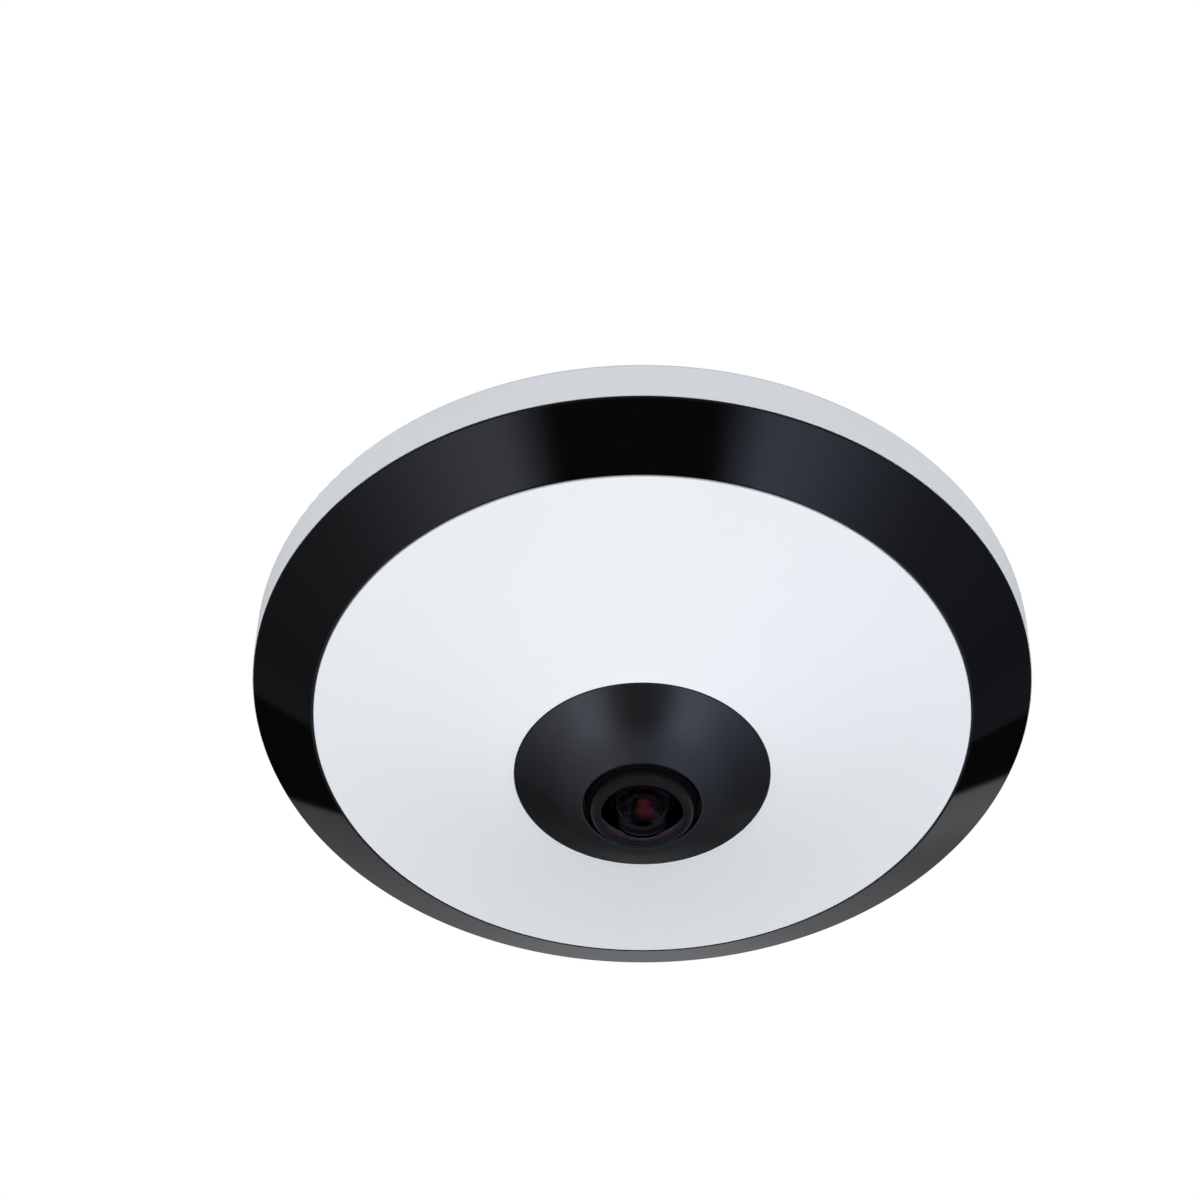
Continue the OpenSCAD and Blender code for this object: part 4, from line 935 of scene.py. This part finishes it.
def screw_tree():
    """Screws with a domed head, a cross recess and a thread, one at each point."""
    rim_drop, slot_width = 0.45, 0.24   # shares of the head's height and the recess's length
    thread, tip, tip_length = 0.30, 0.35, 0.5 * MM   # the first two are shares of the radius

    def draw(sheet, given):
        def moved(geometry, z):
            return sheet.out("GeometryNodeTransform",
                             {"Geometry": geometry, "Translation": sheet.combined(Z=z)})

        def pushed(geometry, offset):
            return sheet.out("GeometryNodeSetPosition", {"Geometry": geometry, "Offset": offset})

        def rod(part, height, sides, rings, fills):
            return sheet.out("GeometryNodeMeshCylinder", {
                "Vertices": sides, "Side Segments": rings, "Fill Segments": fills,
                "Radius": given[part + " radius"], "Depth": given[height]})

        head_h, shank_l = given["Head height"], given["Shank length"]
        place = sheet.out("GeometryNodeInputPosition")
        x, y, z = sheet.add("ShaderNodeSeparateXYZ", {0: place}).outputs[:3]
        share = sheet.math("DIVIDE", sheet.axis_distance(place), given["Head radius"])
        drop = sheet.times(sheet.math("POWER", share, 4.0), -rim_drop)
        head = moved(rod("Head", "Head height", 40, 3, 6), sheet.times(head_h, 0.5))
        cut = pushed(head, sheet.combined(Z=sheet.times(z, drop)))
        slot = sheet.times(given["Recess"], slot_width)
        size = sheet.combined(X=given["Recess"], Y=slot, Z=head_h)
        bar = moved(sheet.out("GeometryNodeMeshCube", {"Size": size}), head_h)
        across = sheet.out("GeometryNodeTransform",
                           {"Geometry": bar, "Rotation": (0, 0, math.pi / 2)})
        for cutter in (bar, across):
            cut = sheet.out("GeometryNodeMeshBoolean", {"Mesh 1": cut, "Mesh 2": cutter},
                            operation="DIFFERENCE")
        shank = moved(rod("Shank", "Shank length", 20, given["Rings"], 1),
                      sheet.times(shank_l, -0.5))
        angle = sheet.math("DIVIDE", sheet.math("ARCTAN2", y, x), math.tau)
        phase = sheet.math("SUBTRACT", sheet.math("DIVIDE", z, given["Pitch"]), angle)
        groove = sheet.times(sheet.math("PINGPONG", phase, 0.5), thread)
        taper = sheet.ramp(sheet.math("ADD", z, shank_l), 0.0, tip_length, tip, 0.0)
        inward = sheet.times(sheet.math("ADD", groove, taper), -1.0)
        threaded = pushed(shank, sheet.scaled(sheet.combined(X=x, Y=y), inward))
        screw = sheet.add("GeometryNodeJoinGeometry")
        for part in (cut, threaded):
            sheet.set(screw.inputs[0], part)
        return sheet.out("GeometryNodeInstanceOnPoints", {
            "Points": given["Seats"], "Instance": screw.outputs[0],
            "Rotation": sheet.combined(X=given["Turn over"])})

    return geometry_group("Screws", [
        ("Seats", GEOMETRY), ("Head radius", FLOAT, 2 * MM), ("Head height", FLOAT, 1 * MM),
        ("Shank radius", FLOAT, 1 * MM), ("Shank length", FLOAT, 4 * MM),
        ("Pitch", FLOAT, 0.4 * MM), ("Recess", FLOAT, 2 * MM), ("Rings", COUNT, 60),
        ("Turn over", FLOAT, 0.0)], draw)


def screws(name, node, places, seat, head, shank, tip_to_lens):
    """A set of like screws; head and shank are a radius and a length in millimetres."""
    settings = bpy.context.scene.camera_fasteners
    mesh = bpy.data.meshes.new(name)
    mesh.from_pydata([(x * MM, y * MM, -seat * MM) for x, y in places], [], [])
    pitch = shank[0] * settings.pitch_share
    ob = use_tree(new_object(name, mesh), screw_tree(), {
        "Head radius": head[0] * MM, "Head height": head[1] * MM,
        "Shank radius": shank[0] * MM, "Shank length": shank[1] * MM,
        "Pitch": pitch * MM, "Recess": head[0] * settings.recess_share * MM,
        "Rings": int(shank[1] / pitch * RINGS_PER_TURN),
        "Turn over": 0.0 if tip_to_lens else math.pi, "Material": finishes()["screw_steel"]})
    for face in ob.data.polygons:
        face.use_smooth = True
    ob.data.set_sharp_from_angle(angle=math.radians(30))
    dressed(ob, "screw_steel", CAMERA, node)


def circle(radius, angles):
    """Places on a circle, in millimetres."""
    return [(radius * math.cos(math.radians(a)), radius * math.sin(math.radians(a)))
            for a in angles]


# Small parts of moulded pieces

def studs(name, places, corners, slot):
    """Posts or ears, turned from one outline and set off the axis."""
    return [turned(name, corners, slot, steps=40, at=at) for at in places]


def cover_rib(r_in, r_out, thickness, height):
    """One radial rib that follows the cover's inner face."""
    steps, root = 12, 1.2   # the root lies this deep in the cover's wall
    rise = steps / 4   # steps at each end over which the rib gains its height
    bm = bmesh.new()
    columns = []
    for i in range(steps + 1):
        r = r_in + (r_out - r_in) * i / steps
        front = on_cover(r, root)
        rear = on_cover(r, COVER_WALL) - height * min(1.0, min(i, steps - i) / rise) - 0.02
        columns.append([bm.verts.new((r * MM, side * thickness / 2 * MM, -depth * MM))
                        for side, depth in ((-1, front), (1, front), (1, rear), (-1, rear))])
    for a, b in zip(columns, columns[1:]):
        for k in range(4):
            bm.faces.new((a[k], a[(k + 1) % 4], b[(k + 1) % 4], b[k]))
    bm.faces.new(columns[0])
    bm.faces.new(reversed(columns[-1]))
    bmesh.ops.recalc_face_normals(bm, faces=bm.faces)
    return mesh_object("cover_rib", bm)


def bezel_web(length, width, height):
    """Block between the bezel's flange and an ear, in its place on the X axis."""
    middle_r, rounding_share = 23.6, 0.04
    bm = bmesh.new()
    bmesh.ops.create_cube(bm, size=1)
    bmesh.ops.bevel(bm, geom=bm.edges, offset=rounding_share, segments=2, affect="EDGES")
    place = Matrix.Translation((middle_r * MM, 0, -(EAR_REAR + EAR_FRONT) / 2 * MM))
    size = Matrix.Diagonal((length * MM, width * MM, height * MM, 1))
    bmesh.ops.transform(bm, verts=bm.verts, matrix=place @ size)
    return mesh_object("bezel_web", bm)


# Operators

class PieceOperator:
    """What the operators share."""
    bl_options = {"REGISTER", "UNDO"}


class CEILCAM_OT_mounting_plate(PieceOperator, bpy.types.Operator):
    """Make the plate that is screwed to the ceiling"""
    bl_idname = "ceilcam.mounting_plate"
    bl_label = "Mounting plate"

    def execute(self, context):
        rounded_copy("mounting_plate_moulding", "mounting_plate",
                     context.scene.camera_case.edge_round * HOUSING_ROUND)
        return {"FINISHED"}


class CEILCAM_OT_housing(PieceOperator, bpy.types.Operator):
    """Make the white rear housing"""
    bl_idname = "ceilcam.housing"
    bl_label = "Rear housing"

    def execute(self, context):
        rounded_copy("base_housing_moulding", "base_housing",
                     context.scene.camera_case.edge_round * HOUSING_ROUND)
        return {"FINISHED"}


class CEILCAM_OT_window_ring(PieceOperator, bpy.types.Operator):
    """Make the dark ring that lets infrared light through"""
    bl_idname = "ceilcam.window_ring"
    bl_label = "Window ring"

    def execute(self, context):
        turned_piece("ir_window_ring_moulding", "ir_window_ring", "window_black",
                     ring_corners(context.scene.camera_case.ring_round / MM), steps=320)
        return {"FINISHED"}


class CEILCAM_OT_cover(PieceOperator, bpy.types.Operator):
    """Make the flared cover with its ribs and posts"""
    bl_idname = "ceilcam.cover"
    bl_label = "Front cover"

    def execute(self, context):
        case = context.scene.camera_case
        slot = "white_plastic"
        shell = turned("cover_shell", cover_corners(case.edge_round / MM), slot, steps=320)
        rib = cover_rib(r_in=30.4, r_out=49.5, thickness=1.0, height=1.5)
        ribs = repeated(rib, slot, case.rib_count, 180 / case.rib_count)
        parts = [shell, ribs]
        for name, circle_r, angles, hole_r, post_r, rear, small, large in (
                ("cover_post", COVER_POST_R, COVER_POST_ANGLES, 1.3, 3.4, 8.4, 0.15, 0.25),
                ("bezel_post", BEZEL_POST_R, BEZEL_POST_ANGLES, 0.8, 2.6, EAR_FRONT, 0.1, 0.2)):
            front = on_cover(circle_r, 1.6)
            parts += studs(name, circle(circle_r, angles), [
                (hole_r, rear, small), (post_r, rear, large), (post_r, front, 0),
                (hole_r, front, 0)], slot)
        dressed(joined("front_cover_moulding", parts), slot, CAMERA, "front_cover")
        return {"FINISHED"}


class CEILCAM_OT_bezel(PieceOperator, bpy.types.Operator):
    """Make the black cone round the lens"""
    bl_idname = "ceilcam.bezel"
    bl_label = "Lens bezel"

    def execute(self, context):
        slot = "bezel_black"
        cone = turned("bezel_cone", bezel_corners(), slot, steps=288, corner_steps=5)
        ears = studs("bezel_ear", circle(BEZEL_POST_R, BEZEL_POST_ANGLES), [
            (0.85, EAR_REAR, 0.1), (2.6, EAR_REAR, 0.15), (2.6, EAR_FRONT, 0.15),
            (0.85, EAR_FRONT, 0.1)], slot)
        web = bezel_web(length=3.2, width=5.0, height=1.36)
        webs = repeated(web, slot, len(ears), BEZEL_POST_ANGLES[0])
        dressed(joined("lens_bezel_moulding", [cone, *ears, webs]), slot, CAMERA, "lens_bezel")
        return {"FINISHED"}


def make_front_glass(lens):
    """Front glass, whose rear is blackened, whose edge is blackened with a painted pink
    reflection, and whose hollow reflects little.
    """
    ob = turned("lens_front_glass", front_glass_corners(), "lens_glass", closed=False, steps=192)
    ob.data.materials.clear()
    for finish in (
            glass("Front glass", (0.92, 0.94, 0.96), 1.52, (0.08, 0.08, 0.10),
                  rim=(3.2 * MM, 4.2 * MM)),
            # The edge's dark colour is real blackening; its pink tint is a painted reflection of
            # the coating.
            moulded("Blackened glass edge", lens.edge, 0.6, Specular_IOR_Level=0.0),
            moulded("Blackened glass rear", lens.barrel, 0.6, Specular_IOR_Level=0.0),
            glass("Hollow of the front glass", (0.55, 0.55, 0.60), 1.10, (0.1, 0.1, 0.1))):
        ob.data.materials.append(finish)
    edge, rear, hollow = 1, 2, 3
    rear_front = GLASS_REAR + 0.15   # past the chamfer
    for face in ob.data.polygons:
        middle = face.center / MM
        if -middle.z < rear_front:
            face.material_index = rear
        elif middle.xy.length > GLASS_SEEN_R:
            face.material_index = edge
        elif (middle + Vector((0, 0, HOLLOW_CENTRE))).length < HOLLOW_R + 0.05:
            face.material_index = hollow
    dressed(ob, "lens_glass", CAMERA, "lens_front_element")


def make_second_glass(lens):
    """Second glass, whose coated hollow glows red with a painted reflection of the coating."""
    ob = turned("lens_second_glass", second_glass_corners(), "lens_glass", closed=False,
                steps=160)
    look = (0.20, 0.20, 0.22), 1.52, (0.12, 0.08, 0.10)
    ob.data.materials[0] = glass("Inner glass", *look)
    ob.data.materials.append(glass("Coated inner glass", *look, glow=(lens.glow, lens.coating)))
    # Faces in front of this depth take the glowing material: the painted reflection of the
    # coating.
    painted_reflection_rear = GLASS_REAR - 1.6
    for face in ob.data.polygons:
        face.material_index = int(-face.center.z / MM > painted_reflection_rear)
    dressed(ob, "lens_glass", CAMERA, "lens_second_element")


class CEILCAM_OT_lens(PieceOperator, bpy.types.Operator):
    """Make the lens: barrel, rings, glasses and seal"""
    bl_idname = "ceilcam.lens"
    bl_label = "Lens"

    def execute(self, context):
        lens = context.scene.camera_lens
        slot = "lens_black"
        barrel = turned("lens_barrel_metal", barrel_corners(lens.thread_pitch / MM,
                                                            lens.thread_depth / MM),
                        slot, steps=192)
        barrel.data.materials[0] = moulded("Anodised barrel", lens.barrel, 0.5, 4200.0,
                                           0.002 * MM, 0.2, Specular_IOR_Level=0.1)
        dressed(barrel, slot, CAMERA, "lens_barrel")
        turned_piece("lens_retaining_ring_metal", "lens_retaining_ring", slot,
                     retaining_corners(), steps=192)
        make_front_glass(lens)
        make_second_glass(lens)
        rear = [turned(name, rear_glass_corners(flat, REAR_GLASSES_MEET), "lens_glass",
                       closed=False, steps=128)
                for name, flat in (("rear_glass_a", REAR_FLAT), ("rear_glass_b", STOP_REAR))]
        dressed(joined("lens_rear_glasses", rear), "lens_glass", CAMERA, "lens_rear_elements")
        turned_piece("lens_spacer_metal", "lens_spacer", slot, spacer_corners(), steps=128)
        stop_r, bevel_r = 1.3, 1.7
        turned_piece("aperture_stop_metal", "aperture_stop", slot, [
            (stop_r, STOP_REAR + 0.2, 0.02), (bevel_r, STOP_REAR, 0.02),
            (INNER_R, STOP_REAR, 0.03), (INNER_R, STOP_FRONT, 0.03),
            (bevel_r, STOP_FRONT, 0.02), (stop_r, STOP_FRONT - 0.2, 0.02)], steps=128)
        seal_in, seal_out, seal_rear, seal_front = 8.95, 10.25, OPENING - 3, OPENING - 1.8
        turned_piece("lens_gasket_rubber", "lens_gasket", "rubber", [
            (r, depth, 0.35) for r, depth in (
                (seal_in, seal_rear), (seal_out, seal_rear), (seal_out, seal_front),
                (seal_in, seal_front))], steps=160, corner_steps=6)
        rounded_copy("lock_ring_metal", "lock_ring", 0.1 * MM)
        rounded_copy("lens_holder_moulding", "lens_holder", 0.12 * MM)
        finish_nodes("image_sensor", "sensor_glass")
        return {"FINISHED"}


class CEILCAM_OT_filter_changer(PieceOperator, bpy.types.Operator):
    """Make the slide, lever, magnet and coil that change the filter"""
    bl_idname = "ceilcam.filter_changer"
    bl_label = "Filter changer"

    def execute(self, context):
        rounded_parts(filter_tray=0.06, filter_carriage=0.06, filter_arm=0.06, filter_rotor=0.1,
                      filter_yoke=0.08, filter_coil=0.08, rotor_pin=0.06)
        finish_nodes("ir_cut_glass", "clear_glass")
        return {"FINISHED"}


class CEILCAM_OT_boards(PieceOperator, bpy.types.Operator):
    """Finish the circuit boards and what stands on them"""
    bl_idname = "ceilcam.boards"
    bl_label = "Boards"

    def execute(self, context):
        rounded_parts(
            heat_spreader=0.15, thermal_pad=0.1, processor=0.08, memory_chips=0.06,
            reset_switch=0.1, card_socket=0.15, network_header=0.1, power_header=0.1,
            ethernet_transformer=0.2, poe_transformer=0.15, power_coils=0.4,
            board_connector=0.1, board_spacers=0.08, flex_connectors=0.1, light_sensor=0.1,
            ir_leds=0.12, led_flex=0.03)
        finish_nodes("main_board", "sensor_board", "led_board")
        can_r, can_front = 2.6, 15.9
        cans = [turned("capacitor_can", [
            (0, BOARD_FRONT, 0), (can_r, BOARD_FRONT, 0.15), (can_r, 11.9, 0.1),
            (can_r - 0.25, 12.1, 0.1), (can_r, 12.3, 0.1), (can_r, can_front, 0.3),
            (0, can_front, 0)], "can_aluminium", closed=False, steps=48, at=at)
            for at in ((29, -11), (25.8, -17.4))]
        dressed(joined("capacitor_cans", cans), "can_aluminium", CAMERA, "capacitors")
        cell_r, rim_r, cell_front = 3.4, 3.1, 13.0
        turned_piece("backup_battery_cell", "backup_battery", "can_steel", [
            (0, BOARD_FRONT, 0), (cell_r, BOARD_FRONT, 0.2), (cell_r, 12.1, 0.1),
            (rim_r, 12.3, 0.1), (rim_r, cell_front, 0.3), (0, cell_front, 0)],
            closed=False, steps=64, at=(16, 31))
        return {"FINISHED"}


class CEILCAM_OT_screws(PieceOperator, bpy.types.Operator):
    """Make all the screws"""
    bl_idname = "ceilcam.screws"
    bl_label = "Screws"

    def execute(self, context):
        square = [(i * 18.5, j * 18.5) for i in (-1, 1) for j in (-1, 1)]
        small_head, small_shank = (1.7, 1.1), 0.9
        for name, places, seat, head, shank, tip_to_lens in (
                ("cover_screw", circle(COVER_POST_R, COVER_POST_ANGLES), 7.4,
                 (2.8, 1.5), (1.25, 6.0), True),
                ("board_screw", circle(35.6, (45, 135, 225, 315)), BOARD_FRONT,
                 (1.9, 1.3), (1.0, 3.4), False),
                ("sensor_board_screw", square, 14.2, small_head, (small_shank, 3.9), False),
                ("holder_screw", [(-13.8, 0), (13.8, 0)], 13.0,
                 small_head, (small_shank, 3.9), True),
                ("led_board_screw", circle(54.0, (0, 120, 240)), 8.6,
                 small_head, (small_shank, 2.0), False),
                ("bezel_screw", circle(BEZEL_POST_R, BEZEL_POST_ANGLES), EAR_REAR,
                 (1.6, 1.0), (0.75, 3.3), True)):
            screws(name + "_set", name + "s", places, seat, head, shank, tip_to_lens)
        return {"FINISHED"}


class CEILCAM_OT_cable_inlet(PieceOperator, bpy.types.Operator):
    """Make the rubber inlet of the lead"""
    bl_idname = "ceilcam.cable_inlet"
    bl_label = "Cable inlet"

    def execute(self, context):
        bore, groove, ridge, flange, lip = 2.9, 5.07, 3.2, 6.67, 5.87
        turned_piece("cable_grommet_rubber", "cable_grommet", "rubber", [
            (bore, 4.0, 0.3), (flange, 4.0, 0.3), (flange, 5.0, 0.25), (groove, 5.0, 0.05),
            (groove, 6.6, 0.05), (lip, 6.6, 0.2), (5.5, 7.6, 0.3), (bore, 7.6, 0.2),
            (bore, 6.4, 0.05), (ridge, 6.1, 0.1), (bore, 5.8, 0.05), (bore, 5.5, 0.05),
            (ridge, 5.2, 0.1), (bore, 4.9, 0.05)], steps=96, at=(0, -33))
        return {"FINISHED"}


class CEILCAM_OT_reset_button(PieceOperator, bpy.types.Operator):
    """Make the reset button and the switch's plunger"""
    bl_idname = "ceilcam.reset_button"
    bl_label = "Reset button"

    def execute(self, context):
        rear, front, stem, flange = 5.3, 7.4, 1.5, 2.4
        turned_piece("reset_button_moulding", "reset_button", "button_plastic", [
            (0, rear, 0), (1.0, rear, 0.05), (1.1, 5.2, 0.05), (stem, 5.2, 0.12),
            (stem, 6.7, 0.03), (flange, 6.7, 0.08), (flange, 7.2, 0.08), (stem, 7.2, 0.03),
            (stem, front, 0.05), (0, front, 0)],
            body="reset_push", closed=False, steps=64, at=(24, 12))
        finish_nodes("switch_plunger")
        return {"FINISHED"}


# Studio

def show_only(ob, *rays):
    """Leaves an object visible to the named kinds of ray alone."""
    for ray in ("camera", "diffuse", "glossy", "transmission", "volume_scatter", "shadow"):
        setattr(ob, "visible_" + ray, ray in rays)


def tent_material():
    """What the gloss shows: two soft lamps below, a dark horizon and a grey wall.

    Bands lie along the ray's own direction: x to the right, z up.
    """
    material = bpy.data.materials.new("Studio surroundings")
    sheet = fresh_sheet(material)
    x, y, z = sheet.add("ShaderNodeSeparateXYZ", {
        0: sheet.vector("NORMALIZE", sheet.object_place())}).outputs[:3]

    side = sheet.math("ABSOLUTE", sheet.math("ADD", x, 0.017))
    lamp = sheet.math("POWER", sheet.ramp(side, 0.40, 0.86, 1.0, 0.0), 1.2)
    gap = sheet.math("MAXIMUM", sheet.ramp(side, 0.22, 0.41), sheet.ramp(z, -0.75, -0.6))
    lit = sheet.times(lamp, sheet.ramp(z, -0.72, -0.5, 1.0, 0.0))
    ground = sheet.math("MULTIPLY_ADD", lit, 0.84, sheet.ramp(z, -0.6, -0.35, 0.16, 0.09))
    floor_line = sheet.math("MULTIPLY_ADD", x, -0.029, z)
    horizon = sheet.ramp(floor_line, -0.225, -0.205, 1.0, 0.0)
    wall_line = sheet.math("MULTIPLY_ADD", x, 0.047, z)
    wall = sheet.ramp(wall_line, -0.036, -0.016)
    window = sheet.times(sheet.ramp(z, 0.0, 0.14, 0.26, 0.0), sheet.ramp(x, 0.2, 0.5))
    high = sheet.times(sheet.ramp(z, 0.28, 0.36, 0.32, 0.38), sheet.ramp(z, 0.5, 0.6, 1.0, 0.06))
    above = sheet.times(wall, sheet.math("ADD", window, high))
    level = sheet.math("MULTIPLY_ADD", sheet.times(ground, gap), horizon, above)
    warm, cold, grey = (0.85, 0.89, 1.06, 1), (0.77, 0.88, 1.18, 1), (0.97, 0.98, 1.02, 1)
    lamp_colour = sheet.mix_colour(sheet.ramp(x, -0.3, 0.3), warm, cold)
    colour = sheet.mix_colour(wall, lamp_colour, grey)
    glow = sheet.out("ShaderNodeEmission", {"Color": colour, "Strength": level})
    sheet.add("ShaderNodeOutputMaterial", {0: glow})
    return material


def aimed(name, data, place, along):
    """Puts a camera or a lamp at a place and turns it along a direction."""
    ob = new_object(name, data)
    ob.location = place
    ob.rotation_euler = along.to_track_quat("-Z", "Y").to_euler()
    return ob


def add_camera(scene, studio):
    """The camera, which looks up at the middle of the window ring."""
    data = bpy.data.cameras.new("Camera")
    data.lens = studio.focal
    data.sensor_width = 36
    data.shift_x, data.shift_y = -0.0352, 0.087
    data.clip_start, data.clip_end = 0.01, 50
    target = Vector((0, 0, -RING_MIDDLE * MM))
    look = Vector((0, math.cos(studio.tilt), math.sin(studio.tilt)))
    scene.camera = aimed("Camera", data, target - look * studio.distance, look)


def add_world(scene, studio):
    """White to the camera, and a soft even light on the object."""
    world = bpy.data.worlds.new("Studio")
    sheet = fresh_sheet(world)
    seen = sheet.add("ShaderNodeLightPath").outputs["Is Camera Ray"]
    soft = sheet.out("ShaderNodeBackground", {"Color": (0.96, 0.98, 1.0, 1),
                                              "Strength": studio.fill})
    white = sheet.out("ShaderNodeBackground", {"Color": (1, 1, 1, 1), "Strength": 1.0})
    mix = sheet.out("ShaderNodeMixShader", {0: seen, 1: soft, 2: white})
    sheet.add("ShaderNodeOutputWorld", {0: mix})
    scene.world = world


def add_lamps(studio):
    """Round soft lamps, which light without showing in the gloss."""
    for name, place, size, power in (
            ("Key lamp", (0.0, -0.75, -0.85), 0.9, studio.key_power),
            ("Far lamp", (0.0, 0.35, -1.1), 0.9, studio.far_power),
            ("Left lamp", (-0.83, 0.30, 0.47), 0.6, studio.side_power),
            ("Right lamp", (0.83, 0.30, 0.47), 0.6, studio.side_power)):
        data = bpy.data.lights.new(name, "AREA")
        data.shape, data.size, data.energy = "DISK", size, power
        show_only(aimed(name, data, place, -Vector(place)), "diffuse")


def add_floor(studio):
    """Pale floor far below the ceiling."""
    bm = bmesh.new()
    bmesh.ops.create_circle(bm, cap_ends=True, segments=96, radius=4)
    floor = mesh_object("floor", bm)
    floor.data.transform(Matrix.Translation((0, 0, -studio.floor_depth)))
    floor.data.materials.append(moulded("Pale floor", (0.86, 0.87, 0.88), 0.6, 30.0, 0.05 * MM))
    show_only(floor, "camera", "diffuse", "shadow")


def add_tent():
    """Sphere round the object, seen only in gloss and through glass."""
    bm = bmesh.new()
    bmesh.ops.create_uvsphere(bm, u_segments=96, v_segments=64, radius=3)
    bmesh.ops.reverse_faces(bm, faces=bm.faces)
    tent = mesh_object("surroundings", bm)
    tent.data.materials.append(tent_material())
    show_only(tent, "glossy", "transmission")


class CEILCAM_OT_studio(PieceOperator, bpy.types.Operator):
    """Set up the camera, the lamps, the floor and the surroundings"""
    bl_idname = "ceilcam.studio"
    bl_label = "Studio"

    def execute(self, context):
        scene = context.scene
        studio = scene.camera_studio
        add_camera(scene, studio)
        add_world(scene, studio)
        add_lamps(studio)
        add_floor(studio)
        add_tent()
        scene.view_settings.view_transform = "Standard"
        return {"FINISHED"}


# Panel and registration

OPERATORS = (CEILCAM_OT_mounting_plate, CEILCAM_OT_housing, CEILCAM_OT_window_ring,
             CEILCAM_OT_cover, CEILCAM_OT_bezel, CEILCAM_OT_lens, CEILCAM_OT_filter_changer,
             CEILCAM_OT_boards, CEILCAM_OT_screws, CEILCAM_OT_cable_inlet,
             CEILCAM_OT_reset_button, CEILCAM_OT_studio)


class CEILCAM_PT_pieces(bpy.types.Panel):
    """Lists the settings and the operators"""
    bl_label = "Ceiling camera"
    bl_idname = "CEILCAM_PT_pieces"
    bl_space_type = "VIEW_3D"
    bl_region_type = "UI"
    bl_category = "Ceiling camera"

    def draw(self, context):
        for name in SETTINGS:
            group = getattr(context.scene, name)
            box = self.layout.box()
            for key in group.bl_rna.properties.keys():
                if key not in ("rna_type", "name"):
                    box.prop(group, key)
        for operator in OPERATORS:
            self.layout.operator(operator.bl_idname)


SETTINGS = {"camera_case": CaseSettings, "camera_lens": LensSettings,
            "camera_fasteners": FastenerSettings, "camera_boards": BoardSettings,
            "camera_studio": StudioSettings}
CLASSES = (*SETTINGS.values(), *OPERATORS, CEILCAM_PT_pieces)


def register():
    for cls in CLASSES:
        bpy.utils.register_class(cls)
    for name, cls in SETTINGS.items():
        setattr(bpy.types.Scene, name, PointerProperty(type=cls))


def unregister():
    for name in SETTINGS:
        delattr(bpy.types.Scene, name)
    for cls in reversed(CLASSES):
        bpy.utils.unregister_class(cls)


def main():
    """Registers the add-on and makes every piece."""
    register()
    for operator in OPERATORS:
        group, name = operator.bl_idname.split(".")
        getattr(getattr(bpy.ops, group), name)()


if __name__ == "__main__":
    main()
